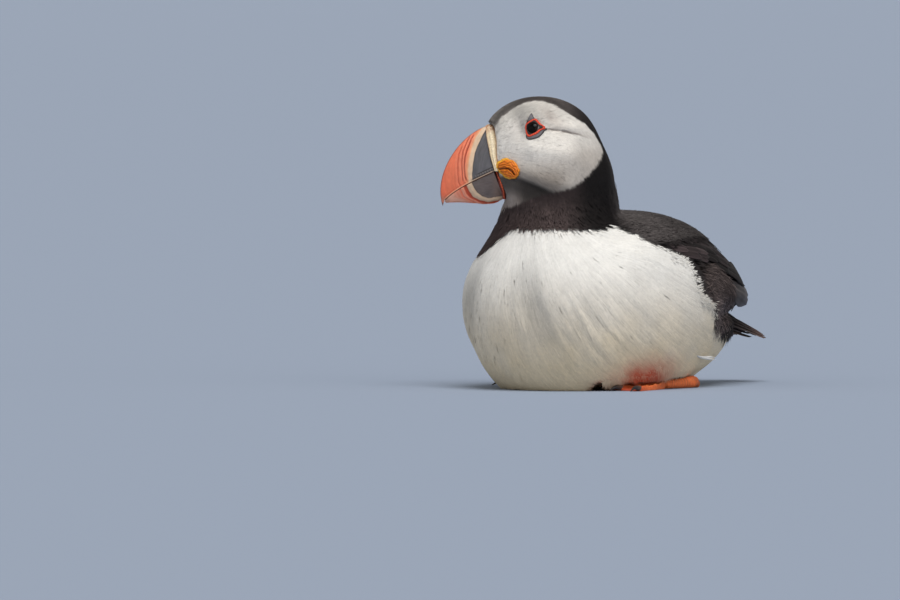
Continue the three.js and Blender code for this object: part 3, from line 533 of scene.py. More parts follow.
def nets(f, lo, hi, h):
    """Surface nets over a field on a grid: vertices and quads, facing out."""
    ax = [np.arange(lo[i], hi[i] + h, h) for i in range(3)]
    X, Y, Z = np.meshgrid(*ax, indexing="ij")
    P = np.stack([X.ravel(), Y.ravel(), Z.ravel()], 1)
    v = np.concatenate([f(P[i : i + 250000]) for i in range(0, len(P), 250000)]).reshape(X.shape)
    s = v < 0
    n = np.array(v.shape)
    total = np.zeros(tuple(n - 1) + (3,))
    count = np.zeros(tuple(n - 1))
    for a in range(3):
        sl0 = [slice(None)] * 3
        sl1 = [slice(None)] * 3
        sl0[a] = slice(0, -1)
        sl1[a] = slice(1, None)
        v0, v1 = v[tuple(sl0)], v[tuple(sl1)]
        cross = s[tuple(sl0)] != s[tuple(sl1)]
        t = np.where(cross, v0 / np.where(v0 == v1, 1, v0 - v1), 0)
        b, c = [k for k in range(3) if k != a]
        for ob in (0, 1):
            for oc in (0, 1):
                sl = [slice(None)] * 3
                sl[b] = slice(ob, n[b] - 1 + ob)
                sl[c] = slice(oc, n[c] - 1 + oc)
                m = cross[tuple(sl)]
                tt = t[tuple(sl)]
                count += m
                total[..., a] += m * tt
                total[..., b] += m * ob
                total[..., c] += m * oc
    active = count > 0
    index = -np.ones(active.shape, int)
    index[active] = np.arange(active.sum())
    cells = np.argwhere(active)
    V = np.array(lo) + (cells + total[active] / count[active][:, None]) * h
    quads = []
    for a in range(3):
        b, c = (a + 1) % 3, (a + 2) % 3
        sl0 = [slice(1, -1)] * 3
        sl1 = [slice(1, -1)] * 3
        sl0[a] = slice(0, -1)
        sl1[a] = slice(1, None)
        s0 = s[tuple(sl0)]
        cross = s0 != s[tuple(sl1)]
        e = np.argwhere(cross)
        inside = s0[cross]
        off = np.ones(3, int)
        off[a] = 0
        e = e + off

        def at(db, dc):
            q = e.copy()
            q[:, b] -= db
            q[:, c] -= dc
            return index[q[:, 0], q[:, 1], q[:, 2]]

        q = np.stack([at(1, 1), at(0, 1), at(0, 0), at(1, 0)], 1)
        q[~inside] = q[~inside][:, ::-1]
        quads.append(q)
    return V, np.concatenate(quads)


# ------------------------------------------------------------------ unwrap of the skin: two octahedral charts
def octa(d):
    d = d / np.maximum(np.abs(d).sum(1), 1e-9)[:, None]
    u, v = d[:, 0].copy(), d[:, 1].copy()
    low = d[:, 2] < 0
    uu = (1 - np.abs(v)) * np.where(u >= 0, 1, -1)
    vv = (1 - np.abs(u)) * np.where(v >= 0, 1, -1)
    u[low], v[low] = uu[low], vv[low]
    return np.stack([u, v], 1) * 0.5 + 0.5


def is_upper(P):
    return P[:, 2] > 84.0 + 0.25 * (P[:, 0] + 30)


def skin_uv(P):
    a = octa((P - np.array([2.0, 0, 36])) / np.array([1.5, 1, 0.9]))
    b = octa(P - np.array([-29.0, 2, 104]))
    a = 0.012 + a * np.array([0.60, 0.97])
    b = np.array([0.628, 0.012]) + b * np.array([0.36, 0.97])
    return np.where(is_upper(P)[:, None], b, a)


# ------------------------------------------------------------------ materials
def new_material(name):
    m = bpy.data.materials.new(name)
    m.use_nodes = True
    nt = m.node_tree
    b = nt.nodes["Principled BSDF"]
    return m, nt, b


def node(nt, kind, **kw):
    n = nt.nodes.new(kind)
    for k, v in kw.items():
        if k in n.inputs.keys():
            n.inputs[k].default_value = v
        else:
            setattr(n, k, v)
    return n


def coat_material(name, rough=0.7, spec=0.25, sheen=0.0, grain=(900.0, 0.16), bump=0.25, bump_scale=1600.0, sub=0.0):
    """Plumage: the markings, broken up by fine grain and faint broad blotches."""
    m, nt, b = new_material(name)
    L = nt.links.new
    at = node(nt, "ShaderNodeAttribute", attribute_name="coat")
    tc = node(nt, "ShaderNodeTexCoord")
    fine = node(nt, "ShaderNodeTexNoise", Scale=grain[0], Detail=3.0)
    broad = node(nt, "ShaderNodeTexNoise", Scale=90.0, Detail=3.0)
    for t in (fine, broad):
        L(tc.outputs["Object"], t.inputs["Vector"])
    r1 = node(nt, "ShaderNodeMapRange")
    r1.inputs["From Min"].default_value, r1.inputs["From Max"].default_value = 0.25, 0.75
    r1.inputs["To Min"].default_value, r1.inputs["To Max"].default_value = 1 - grain[1], 1 + grain[1]
    L(fine.outputs["Fac"], r1.inputs["Value"])
    r2 = node(nt, "ShaderNodeMapRange")
    r2.inputs["From Min"].default_value, r2.inputs["From Max"].default_value = 0.3, 0.7
    r2.inputs["To Min"].default_value, r2.inputs["To Max"].default_value = 0.94, 1.05
    L(broad.outputs["Fac"], r2.inputs["Value"])
    mul = node(nt, "ShaderNodeMath", operation="MULTIPLY")
    L(r1.outputs["Result"], mul.inputs[0])
    L(r2.outputs["Result"], mul.inputs[1])
    sc = node(nt, "ShaderNodeVectorMath", operation="SCALE")
    L(at.outputs["Color"], sc.inputs[0])
    L(mul.outputs[0], sc.inputs["Scale"])
    L(sc.outputs[0], b.inputs["Base Color"])
    rr = node(nt, "ShaderNodeMapRange")
    rr.inputs["To Min"].default_value, rr.inputs["To Max"].default_value = rough - 0.08, rough + 0.08
    L(fine.outputs["Fac"], rr.inputs["Value"])
    L(rr.outputs["Result"], b.inputs["Roughness"])
    b.inputs["Specular IOR Level"].default_value = spec
    b.inputs["Sheen Weight"].default_value = sheen
    b.inputs["Sheen Roughness"].default_value = 0.45
    if sub:
        b.inputs["Subsurface Weight"].default_value = sub
        b.inputs["Subsurface Radius"].default_value = (1.0, 0.8, 0.65)
        b.inputs["Subsurface Scale"].default_value = 0.0015
    bn = node(nt, "ShaderNodeTexNoise", Scale=bump_scale, Detail=2.0)
    L(tc.outputs["Object"], bn.inputs["Vector"])
    bp = node(nt, "ShaderNodeBump", Strength=bump, Distance=0.0002)
    L(bn.outputs["Fac"], bp.inputs["Height"])
    L(bp.outputs["Normal"], b.inputs["Normal"])
    return m


def horn_material(name, rough=0.35, spec=0.5, coat=0.0, bump=0.2, scale=700.0, dist=0.00015, var=0.08, sub=0.0, cells=False):
    """Horn or skin whose colours ride on the mesh; pits or scales in the bump."""
    m, nt, b = new_material(name)
    L = nt.links.new
    at = node(nt, "ShaderNodeAttribute", attribute_name="coat")
    tc = node(nt, "ShaderNodeTexCoord")
    n1 = node(nt, "ShaderNodeTexNoise", Scale=scale, Detail=4.0)
    L(tc.outputs["Object"], n1.inputs["Vector"])
    r1 = node(nt, "ShaderNodeMapRange")
    r1.inputs["From Min"].default_value, r1.inputs["From Max"].default_value = 0.3, 0.7
    r1.inputs["To Min"].default_value, r1.inputs["To Max"].default_value = 1 - var, 1 + var
    L(n1.outputs["Fac"], r1.inputs["Value"])
    sc = node(nt, "ShaderNodeVectorMath", operation="SCALE")
    L(at.outputs["Color"], sc.inputs[0])
    L(r1.outputs["Result"], sc.inputs["Scale"])
    L(sc.outputs[0], b.inputs["Base Color"])
    rr = node(nt, "ShaderNodeMapRange")
    rr.inputs["To Min"].default_value, rr.inputs["To Max"].default_value = rough - 0.1, rough + 0.12
    L(n1.outputs["Fac"], rr.inputs["Value"])
    L(rr.outputs["Result"], b.inputs["Roughness"])
    b.inputs["Specular IOR Level"].default_value = spec
    b.inputs["Coat Weight"].default_value = coat
    b.inputs["Coat Roughness"].default_value = 0.15
    if sub:
        b.inputs["Subsurface Weight"].default_value = sub
        b.inputs["Subsurface Radius"].default_value = (1.0, 0.35, 0.2)
        b.inputs["Subsurface Scale"].default_value = 0.001
    bp = node(nt, "ShaderNodeBump", Strength=bump, Distance=dist)
    if cells:
        vo = node(nt, "ShaderNodeTexVoronoi", Scale=scale, feature="DISTANCE_TO_EDGE")
        L(tc.outputs["Object"], vo.inputs["Vector"])
        rv = node(nt, "ShaderNodeMapRange")
        rv.inputs["From Min"].default_value, rv.inputs["From Max"].default_value = 0.0, 0.12
        L(vo.outputs["Distance"], rv.inputs["Value"])
        L(rv.outputs["Result"], bp.inputs["Height"])
    else:
        L(n1.outputs["Fac"], bp.inputs["Height"])
    L(bp.outputs["Normal"], b.inputs["Normal"])
    return m


M_WHITE = coat_material("plumage_white_look", rough=0.72, spec=0.2, grain=(700.0, 0.05), bump=0.2, sub=0.12)
M_DARK = coat_material("plumage_dark_look", rough=0.66, spec=0.13, sheen=0.0, grain=(700.0, 0.22), bump=0.3)
M_FACE = coat_material("plumage_face_look", rough=0.78, spec=0.15, grain=(1100.0, 0.05), bump=0.15, sub=0.1)
M_VANE = coat_material("plumage_vane_look", rough=0.56, spec=0.13, grain=(500.0, 0.2), bump=0.35, bump_scale=900.0)
M_SKIN = coat_material("plumage_under_look", rough=0.8, spec=0.1, grain=(900.0, 0.1), bump=0.8, bump_scale=700.0)


# ------------------------------------------------------------------ skin
def head_zone(P):
    H = to_head(P)
    return ease((P[:, 2] - 89 - 0.28 * (P[:, 0] + 33)) / 5) * ease((H[:, 2] + 30) / 5)


def build_skin():
    h = 1.7
    V, Q = nets(skin_field, (-74, -58, -4), (84, 58, 146), h)
    V = settle(V, 0.0, 2, skin_field)
    V[:, 2] = np.maximum(V[:, 2], 0.6)
    c = coat_colour(V, 0.6) * (0.97 + 0.01 * head_zone(V))[:, None]
    loops = Q.ravel()
    uv = skin_uv(V)[loops].reshape(-1, 4, 2)
    span = (uv.max(1) - uv.min(1)).max(1)
    bad = span > 0.08  # a face over a seam of the unwrap keeps to its first corner's place
    uv[bad] = uv[bad][:, :1] + np.array([[0, 0], [0.002, 0], [0.002, 0.002], [0, 0.002]])
    ob = make_mesh("skin", V, [Q], M_SKIN, c, uv.reshape(-1, 2))
    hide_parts("head", "neck", "trunk", "wing_left", "wing_right")
    return V, Q


SKIN_V, SKIN_Q = build_skin()


def scatter(n, keep, weight=None, seed=1):
    """n points over the coat's outline, chosen by area from the skin; keep(P, N) returns a 0..1 chance."""
    rng = np.random.default_rng(seed)
    a, b, c, d = (SKIN_V[SKIN_Q[:, i]] for i in range(4))
    area = 0.5 * np.linalg.norm(np.cross(c - a, d - b), axis=1)
    cen = (a + b + c + d) / 4
    nn = unit(np.cross(c - a, d - b))
    w = area * keep(cen, nn)
    pick = rng.choice(len(w), n, p=w / w.sum())
    u, v = rng.random(n)[:, None], rng.random(n)[:, None]
    P = (a[pick] * (1 - u) + b[pick] * u) * (1 - v) + (d[pick] * (1 - u) + c[pick] * u) * v
    return settle(P, 0.0, 3)


# ------------------------------------------------------------------ tufts
def tufts(name, P, length, width, rise, tip, material, slot, colour=None, rings=3, yaw=0.0, dirs=None, spread=None,
          flat=0.22, round_=0.25, root_shade=0.72, tip_light=1.0, lump=0.5, clump=0.5, lean_k=0.3, jitter=0.08, seed=3, taper=0.9, seg=None, wave=0.0, f=coat_field, shape="lock", colour_rough=1.0, carry=0.3, broad=3.2, tone=0.05, arch=0.0, dip=0.0, shift=None, ridge=None):
    """Closed three-sided locks from P, each lying along the flow from `rise` below the coat to `tip` above it."""
    rng = np.random.default_rng(seed)
    n = len(P)
    length = np.broadcast_to(length, n) * rng.uniform(0.78, 1.22, n)
    width = np.broadcast_to(width, n) * rng.uniform(0.75, 1.25, n)
    rise = np.broadcast_to(rise, n)
    tip = np.broadcast_to(tip, n) + rng.normal(0, jitter, n)
    N0 = normals_at(P, f)
    D0 = flow(P, N0) if dirs is None else dirs
    D0 = unit(D0 - (D0 * N0).sum(1)[:, None] * N0)
    B0 = np.cross(N0, D0)
    # locks gather along ridges that run with the flow
    e = 0.7
    s0 = 0.6 * streaks(P, D0, broad, 11, 11) + 0.4 * streaks(P, D0, 0.9, 6, 12)
    s1 = 0.6 * streaks(P + B0 * e, D0, broad, 11, 11) + 0.4 * streaks(P + B0 * e, D0, 0.9, 6, 12)
    if ridge is not None:
        r0, r1 = streaks(P, D0, 2.4, 7, 13), streaks(P + B0 * e, D0, 2.4, 7, 13)
        s0, s1 = s0 + 1.9 * ridge * r0, s1 + 1.9 * ridge * r1
    slope = (s1 - s0) / e
    ang = rng.normal(0, 1, n) * yaw + (spread if spread is not None else 0)
    s = np.array(seg) if seg is not None else np.linspace(0, 1, rings + 1)
    q = P.copy()
    pts, nor = [], []
    cosa, sina = np.cos(ang)[:, None], np.sin(ang)[:, None]
    Nk, Dk = N0, D0
    for k, sk in enumerate(s):
        if k:
            step = (length * (sk - s[k - 1]))[:, None]
            Bk = np.cross(Nk, Dk)
            q = q + (Dk * cosa + Bk * sina) * step
            f0, g = grad(f, q)
            g2 = np.maximum((g**2).sum(1), 1e-6)
            q = q - (clamp(f0, -4, 4) / g2)[:, None] * g
            Nk = unit(g)
            if dirs is None:
                Dk = flow(q, Nk)
            else:
                Dk = unit(D0 - (D0 * Nk).sum(1)[:, None] * Nk)
        lift = -rise * (1 - sk) ** (1.3 + 2 * arch) + tip * sk + lump * s0 * 0.6 * math.sin(min(1.0, sk * 1.6) * math.pi / 2) + arch * 4 * sk * (1 - sk) - dip * sk**3
        side = clump * slope * 0.9 * sk**1.5 + wave * np.sin(3.1 * sk + 6.28 * noise(P, 4, 21)) * sk
        c = q + Nk * lift[:, None] + np.cross(Nk, Dk) * clamp(side, -1.2, 1.2)[:, None]
        c[:, 2] = np.maximum(c[:, 2], 0.12)
        pts.append(c)
        nor.append(Nk)
    pts = np.stack(pts, 1)
    nor = np.stack(nor, 1)
    R = len(s) - 1
    tan = np.empty_like(pts)
    tan[:, 1:-1] = pts[:, 2:] - pts[:, :-2]
    tan[:, 0] = pts[:, 1] - pts[:, 0]
    tan[:, -1] = pts[:, -1] - pts[:, -2]
    tan /= np.maximum(np.linalg.norm(tan, axis=2), 1e-9)[:, :, None]
    bi = np.cross(nor, tan)
    bi /= np.maximum(np.linalg.norm(bi, axis=2), 1e-9)[:, :, None]
    sr = s[:R]
    prof = (0.55 + 0.45 * ease(sr / 0.35)) * (1 - ease((sr - 0.45) / 0.6) * (1 - 0.35 * taper)) if shape == "lock" else (0.5 + 0.5 * ease(sr / 0.3))
    w = width[:, None] * prof[None]
    V = np.empty((n, R * 3 + 1, 3))
    C = np.empty((n, R * 3 + 1, 3))
    NN = np.empty((n, R * 3 + 1, 3))
    # markings are carried out from the root by a share of the lock's length
    if colour is None:
        at = pts * (1 - carry) + P[:, None] * carry
        sh = 0.0 if shift is None else shift(at.reshape(-1, 3), np.tile(s, n))
        shades = coat_colour(at.reshape(-1, 3), colour_rough, sh).reshape(n, R + 1, 3)
    else:
        shades = np.repeat(np.broadcast_to(colour, (n, 3))[:, None], R + 1, axis=1)
    # painted light and shade: locks on the raised streaks are made lighter and those in the hollows darker, and each
    # lock gets a random tone
    streak_light_and_tone = 1 + tone * s0 + rng.normal(0, tone * 0.6, n)
    lean = nor[:, :, :] - bi * (lean_k * slope)[:, None, None] + tan * 0.10
    for k in range(R):
        side = bi[:, k] * (w[:, k] / 2)[:, None]
        up = nor[:, k] * (w[:, k] * flat)[:, None]
        V[:, 3 * k] = pts[:, k] - side
        V[:, 3 * k + 1] = pts[:, k] + up
        V[:, 3 * k + 2] = pts[:, k] + side
        NN[:, 3 * k] = lean[:, k] - bi[:, k] * round_
        NN[:, 3 * k + 1] = lean[:, k]
        NN[:, 3 * k + 2] = lean[:, k] + bi[:, k] * round_
        # painted shade: each lock darkens towards its root, where its neighbours cover it; towards the tip it lightens,
        # partly the feathers' paler tips and partly painted sheen
        f_ = root_shade + (tip_light - root_shade) * ease(sr[k] / 0.7)
        C[:, 3 * k : 3 * k + 3] = (shades[:, k] * (streak_light_and_tone * f_)[:, None])[:, None]
    V[:, -1] = pts[:, -1]
    NN[:, -1] = lean[:, -1]
    C[:, -1] = shades[:, -1] * (streak_light_and_tone * tip_light)[:, None]
    V[:, :, 2] = np.maximum(V[:, :, 2], 0.08)
    m = R * 3 + 1
    one = []
    for k in range(R - 1):
        a = 3 * k
        for i, j in ((0, 1), (1, 2)):
            one += [(a + i, a + 3 + i, a + 3 + j), (a + i, a + 3 + j, a + j)]
        one += [(a + 2, a + 5, a), (a + 5, a + 3, a)]
    a = 3 * (R - 1)
    for i, j in ((0, 1), (1, 2), (2, 0)):
        one.append((a + i, m - 1, a + j))
    one.append((0, 1, 2))
    one = np.array(one)
    faces = (one[None] + (np.arange(n) * m)[:, None, None]).reshape(-1, 3)
    uv0 = skin_uv(P)
    loc = np.empty((R * 3 + 1, 2))
    for k in range(R):
        for j in range(3):
            loc[3 * k + j] = (s[k] * 0.003, j * 0.0015)
    loc[-1] = (0.003, 0.0015)
    uv = (uv0[:, None] + loc[None]).reshape(-1, 2)
    pieces = max(1, math.ceil(len(faces) / 190000))
    obs = []
    per = math.ceil(n / pieces)
    order = np.argsort(P[:, 0] + 0.5 * P[:, 2], kind="stable") if pieces > 1 else np.arange(n)
    for i in range(pieces):
        pick = order[i * per : (i + 1) * per]
        if not len(pick):
            continue
        fc = (one[None] + (np.arange(len(pick)) * m)[:, None, None]).reshape(-1, 3)
        u = uv.reshape(n, m, 2)[pick].reshape(-1, 2)
        nm = name if pieces == 1 else f"{name}_{i + 1}"
        obs.append(make_mesh(nm, V[pick].reshape(-1, 3), [fc], material, C[pick].reshape(-1, 3), u, NN[pick].reshape(-1, 3)))
    return obs


DENS = 1.0


# white underside
def chance_white(P, Nn):
    w = 1 - ease((P[:, 2] - black_line(P) + 1.0 + 2.2 * ease((-22 - P[:, 0]) / 8)) / 2.5)
    w = w * (1 - head_zone(P)) * (1 + 1.3 * bump_gauss(P[:, 2] - black_line(P) + 4, 4.5))
    w = w * (1 - 0.65 * ease((5 - P[:, 2]) / 4)) * (1 - 0.85 * ease((1.5 - P[:, 2]) / 1))
    return np.maximum(w, 1e-6)


P = scatter(int(38500 * DENS), chance_white, seed=11)
ln = 15.0 + 5.0 * ease((P[:, 0] + 10) / 40) - 4.5 * ease((-56 - P[:, 0]) / 10)
ln = ln * (1 - 0.40 * ease((14 - P[:, 2]) / 14)) * (1 - 0.45 * bump_gauss(P[:, 2] - black_line(P) + 1, 6))
ridge = np.exp(-(((P[:, 0] + 48) / 17) ** 2) - (((P[:, 2] - 38) / 19) ** 2)) * (np.abs(P[:, 1]) > 12)


def under_dark(at, s):
    """White tufts keep their colour under the dark ones that lap over them."""
    return 3.5 * np.maximum(1 - s * 1.4, 0) + 3.5 * ease((-22 - at[:, 0]) / 8)


def plain(q):
    """The body's outline without the hollows over the feet."""
    return body_field(q, "plain")


rim = (P[:, 2] > 5) & (P[:, 2] < 22) & (np.abs(P[:, 1]) > 18) & (P[:, 0] > -38) & (P[:, 0] < 44) & (plain(P) > -0.5)
WHITE_LOCK = dict(yaw=0.05, lump=0.78, clump=0.7, lean_k=0.36, jitter=0.04, seed=12, wave=0.35, seg=(0, 0.42, 0.78, 1.0), root_shade=0.96, colour_rough=1.5, flat=0.20, round_=0.14, tone=0.04, carry=0.15, broad=4.2, arch=0.36, dip=0.26, shift=under_dark)
tufts("breast", P[~rim], ln[~rim], 0.90, depth_at(P[~rim]) * 0.5, 0.0, M_WHITE, "plumage_white", ridge=ridge[~rim], **WHITE_LOCK)
Q = P[rim]
tufts("belly", Q, np.minimum(ln[rim], np.maximum(2.5, (Q[:, 2] - 4.6) * 1.3)), 0.90, depth_at(Q) * 0.5, 0.0, M_WHITE, "plumage_white", ridge=ridge[rim], f=plain, **WHITE_LOCK)


# dark neck, mantle and rump
def chance_dark(P, Nn):
    w = ease((P[:, 2] - black_line(P) + 0.6) / 1.6) * (1 - head_zone(P))
    w = w * (1 - 0.92 * ease((-1.5 - mantle_edge(P)) / 3) * ease((P[:, 0] + 12) / 8) * ease((P[:, 2] - 40) / 3))
    return np.maximum(w, 1e-6)


P = scatter(int(18200 * DENS), chance_dark, seed=21)
front = ease((-10 - P[:, 0]) / 14)
back = ease((mantle_edge(P) + 3) / 5) * (1 - front)
near = ease((P[:, 2] - black_line(P)) / 7)
k = front > 0.5
Q = P[k]
tufts("collar", Q, 4.0 * (0.65 + 0.35 * near[k]), 0.60, depth_at(Q) * 0.5, 0.22, M_DARK, "plumage_black", yaw=0.14, lump=0.25, clump=0.12, lean_k=0.16, jitter=0.09, seed=26, seg=(0, 0.45, 0.8, 1.0), root_shade=0.88, tip_light=1.12, wave=0.2, colour_rough=0.7, tone=0.10, carry=0.85)
Q, back, front, near = P[~k], back[~k], front[~k], near[~k]
tufts("mantle", Q, (6.4 - 1.6 * front) * (0.62 + 0.38 * near), 0.72, depth_at(Q) * 0.55, 0.05 + 0.75 * back, M_DARK, "plumage_black", yaw=0.10 + 0.30 * back, lump=0.4, clump=0.3, lean_k=0.22, jitter=0.14, seed=22, seg=(0, 0.45, 0.8, 1.0), root_shade=0.42, tip_light=1.6, wave=0.3, colour_rough=0.9, tone=0.32, carry=0.35)

# fluffy grey-brown feathers behind the flank, the hanging tufts over the tail's root, the loose white fringe over the
# wing's edge and the belly's feathers over the feet
for side in (-1, 1):
    rng = np.random.default_rng(60 + side)
    n = int(3400 * max(DENS, 0.6))
    P = np.stack([rng.uniform(16, 66, n), np.full(n, side * 40.0), rng.uniform(26, 62, n)], 1)
    k = ((P[:, 0] - 39) / 18) ** 2 + ((P[:, 2] - 46 + 0.22 * (P[:, 0] - 39)) / 14) ** 2 < 1
    k &= P[:, 2] > black_line(P) - 1.0
    P = P[k]
    lo, hi = np.zeros(len(P)), np.full(len(P), 60.0)
    for _ in range(30):
        m = (lo + hi) / 2
        q = P.copy()
        q[:, 1] = side * m
        ins = coat_field(q) < 0
        lo, hi = np.where(ins, m, lo), np.where(ins, hi, m)
    P[:, 1] = side * lo
    nn = normals_at(P)
    turn = ease((P[:, 0] - 26) / 18)
    d = np.stack([1.0 - 0.55 * turn, 0 * turn, -0.22 - 1.0 * turn], 1)
    low = ease((50 - P[:, 2]) / 12) * ease((P[:, 0] - 24) / 8)
    tufts("fluff_left" if side < 0 else "fluff_right", P, 7.0 + 4.0 * rng.random(len(P)), 0.50, 1.2, 0.4 + 1.9 * rng.random(len(P)) * (0.4 + 0.6 * low), M_DARK, "plumage_black",
          colour=FLUFF * (0.45 + 0.9 * rng.random((len(P), 1)) ** 2 + 1.5 * low[:, None] * rng.random((len(P), 1)) ** 2), dirs=d, yaw=0.26, lump=0.35, clump=0.6, seed=61, seg=(0, 0.4, 0.75, 1.0), root_shade=0.28, tip_light=2.2, wave=1.5, tone=0.3, lean_k=0.5)
    # dark locks that hang beside the tail over its pale under side
    n = 430
    P = np.stack([rng.uniform(40, 68, n), np.full(n, side * 1.0), rng.uniform(28.5, 40, n)], 1)
    lo, hi = np.zeros(n), np.full(n, 50.0)
    for _ in range(28):
        m = (lo + hi) / 2
        ins = coat_field(np.stack([P[:, 0], side * m, P[:, 2]], 1)) < 0
        lo, hi = np.where(ins, m, lo), np.where(ins, hi, m)
    P[:, 1] = side * lo
    P = P[(lo > 4) & (P[:, 0] + 0.35 * (P[:, 2] - 30) > 44)]
    d = np.stack([0.25 + 0.35 * rng.random(len(P)), 0.0 * P[:, 0], -1.0 + 0 * P[:, 0]], 1)
    tufts("rump_left" if side < 0 else "rump_right", P, (6.5 + 6.5 * rng.random(len(P)) ** 1.5) * (0.7 + 0.3 * ease((P[:, 0] - 44) / 8)), 1.15, 1.4, 0.6 + 1.5 * rng.random(len(P)), M_DARK, "plumage_black",
          colour=np.array([0.020, 0.0150, 0.0140]) * (0.45 + 1.3 * rng.random((len(P), 1)) ** 2), dirs=d, yaw=0.16, lump=0.25, clump=0.9, seed=63, seg=(0, 0.35, 0.7, 1.0), root_shade=0.5, tip_light=1.5, wave=1.0, taper=1.0, tone=0.15, lean_k=0.4)
    # loose white feathers of the flank lap over the wing's edge
    n = int(900 * max(DENS, 0.6))
    x = 1 + 32 * rng.random(n) ** 0.8
    P = np.stack([x, np.full(n, side * 1.0), 0 * x], 1)
    P[:, 2] = black_line(P) - rng.uniform(0.0, 4.0, n)
    lo, hi = np.zeros(n), np.full(n, 62.0)
    for _ in range(28):
        m = (lo + hi) / 2
        ins = coat_field(np.stack([P[:, 0], side * m, P[:, 2]], 1)) < 0
        lo, hi = np.where(ins, m, lo), np.where(ins, hi, m)
    P[:, 1] = side * lo
    up = ease((P[:, 0] - 8) / 12)
    d = np.stack([1.0 + 0 * up, 0 * up, -0.30 + 0.12 * up - 0.55 * ease((P[:, 0] - 30) / 8)], 1)
    tufts("fringe_left" if side < 0 else "fringe_right", P, (3.6 + 2.2 * up) * (0.6 + 0.7 * rng.random(n)), 0.58, 0.9, 0.25 + 1.0 * rng.random(n) ** 2, M_WHITE, "plumage_white",
          colour=coat_colour(P, 0.5, 12.0) * (0.86 + 0.14 * rng.random((n, 1))), dirs=d, yaw=0.22, lump=0.3, clump=0.6, seed=67, seg=(0, 0.42, 0.78, 1.0), root_shade=0.86, tip_light=1.03, wave=1.1, tone=0.06, flat=0.18)
    # the belly's feathers hang over the top of the foot
    n = int(2400 * max(DENS, 0.6))
    fx = 6.5 if side < 0 else 6.0
    P = np.stack([rng.uniform(-35, 40, n) + fx - 6, np.full(n, side * 1.0), 7.6 + 7.5 * rng.random(n) ** 1.3], 1)
    lo, hi = np.zeros(n), np.full(n, 62.0)
    plain = lambda q: body_field(q, "plain")
    for _ in range(28):
        m = (lo + hi) / 2
        ins = plain(np.stack([P[:, 0], side * m, P[:, 2]], 1)) < 0
        lo, hi = np.where(ins, m, lo), np.where(ins, hi, m)
    P[:, 1] = side * lo
    P = P[lo > 18]
    floor_z = 4.4 + 1.3 * ease((P[:, 0] - 2) / 8) - 3.2 * ease((-27 - P[:, 0]) / 4)
    ln = np.maximum(2.5, (P[:, 2] - floor_z) * 1.28)
    d = np.stack([0.42 + 0 * ln, 0 * ln, -1.0 + 0 * ln], 1)
    tufts("skirt_left" if side < 0 else "skirt_right", P, ln, 0.72, 0.25, 0.1 + 0.25 * rng.random(len(P)), M_WHITE, "plumage_white", dirs=d, yaw=0.16, lump=0.35, clump=0.4, seed=68, seg=(0, 0.42, 0.78, 1.0), root_shade=0.97, wave=0.4, tone=0.05, flat=0.2, f=plain, jitter=0.05, carry=0.6)

# head: short, close feathers
def chance_head(P, Nn):
    H = to_head(P)
    w = head_zone(P)
    eye = np.hypot(H[:, 0] - EYE_H[0], H[:, 2] - EYE_H[2])
    w = w * np.where(np.abs(H[:, 1]) > 8, ease((eye - 3.6) / 0.6), 1)
    w = w * (H[:, 0] > feather_line(H[:, 2]) + 0.6)
    return np.maximum(w, 1e-7)


P = scatter(int(33500 * DENS), chance_head, seed=31)
H = to_head(P)
close = 1 - 0.45 * ease((-14 - H[:, 0]) / 9)
eye_d = np.hypot(H[:, 0] - EYE_H[0], H[:, 2] - EYE_H[2])
close = close * (0.55 + 0.45 * ease((eye_d - 4) / 5))
tufts("head_coat", P, 3.4 * close, 0.46 * (0.7 + 0.3 * close), depth_at(P) * 0.45, 0.0, M_FACE, "plumage_face", yaw=0.06, lump=0.06, clump=0.15, lean_k=0.11, jitter=0.02, seed=32, seg=(0, 0.55, 1.0), root_shade=0.95, tip_light=1.02, flat=0.17, round_=0.12, colour_rough=0.6, tone=0.06, carry=0.35, broad=1.4)

# ------------------------------------------------------------------ helpers for the bare parts
def srgb(r, g, b, gain=1.0):
    v = np.array([r, g, b], float) / 255.0
    return np.minimum(np.where(v <= 0.04045, v / 12.92, ((v + 0.055) / 1.055) ** 2.4) * gain, 0.92)


def bez(a, b, c, d, t):
    t = np.asarray(t, float)[..., None]
    u = 1 - t
    return u**3 * np.array(a) + 3 * u * u * t * np.array(b) + 3 * u * t * t * np.array(c) + t**3 * np.array(d)


def line_distance(hx, hz, line):
    """Signed distance to a line of points and the share of its length reached."""
    p = np.stack([hx, hz], 1)
    best, sign, along, run = np.full(len(p), 1e9), np.ones(len(p)), np.zeros(len(p)), 0.0
    for a, b in zip(line[:-1], line[1:]):
        ab = b - a
        l = np.hypot(*ab)
        t = clamp(((p - a) @ ab) / (l * l))
        d = np.linalg.norm(p - a - t[:, None] * ab, axis=1)
        m = d < best
        best[m], along[m] = d[m], run + l * t[m]
        sign[m] = np.sign(ab[0] * (p[m, 1] - a[1]) - ab[1] * (p[m, 0] - a[0]))
        run += l
    return best * sign, along / run


def bill_line(*pts):
    """A marking on the side of the bill, given in 0.0297 mm steps back and down from its front top corner."""
    a = np.array(pts, float)
    return np.stack([a[:, 0] * 0.0297 - 54.1, 17.95 - a[:, 1] * 0.0297], 1)


def triangles(F):
    out = []
    for f in F if isinstance(F, list) else [F]:
        f = np.asarray(f)
        if f.shape[1] == 3:
            out.append(f)
        else:
            out += [f[:, [0, 1, 2]], f[:, [0, 2, 3]]]
    return np.concatenate(out)


def facing_out(V, F):
    t = triangles(F)
    vol = (V[t[:, 0]] * np.cross(V[t[:, 1]], V[t[:, 2]])).sum()
    return [f[:, ::-1] for f in F] if vol < 0 else F


def vertex_normals(V, F):
    t = triangles(F)
    n = np.cross(V[t[:, 1]] - V[t[:, 0]], V[t[:, 2]] - V[t[:, 0]])
    out = np.zeros_like(V)
    for i in range(3):
        np.add.at(out, t[:, i], n)
    return unit(out)


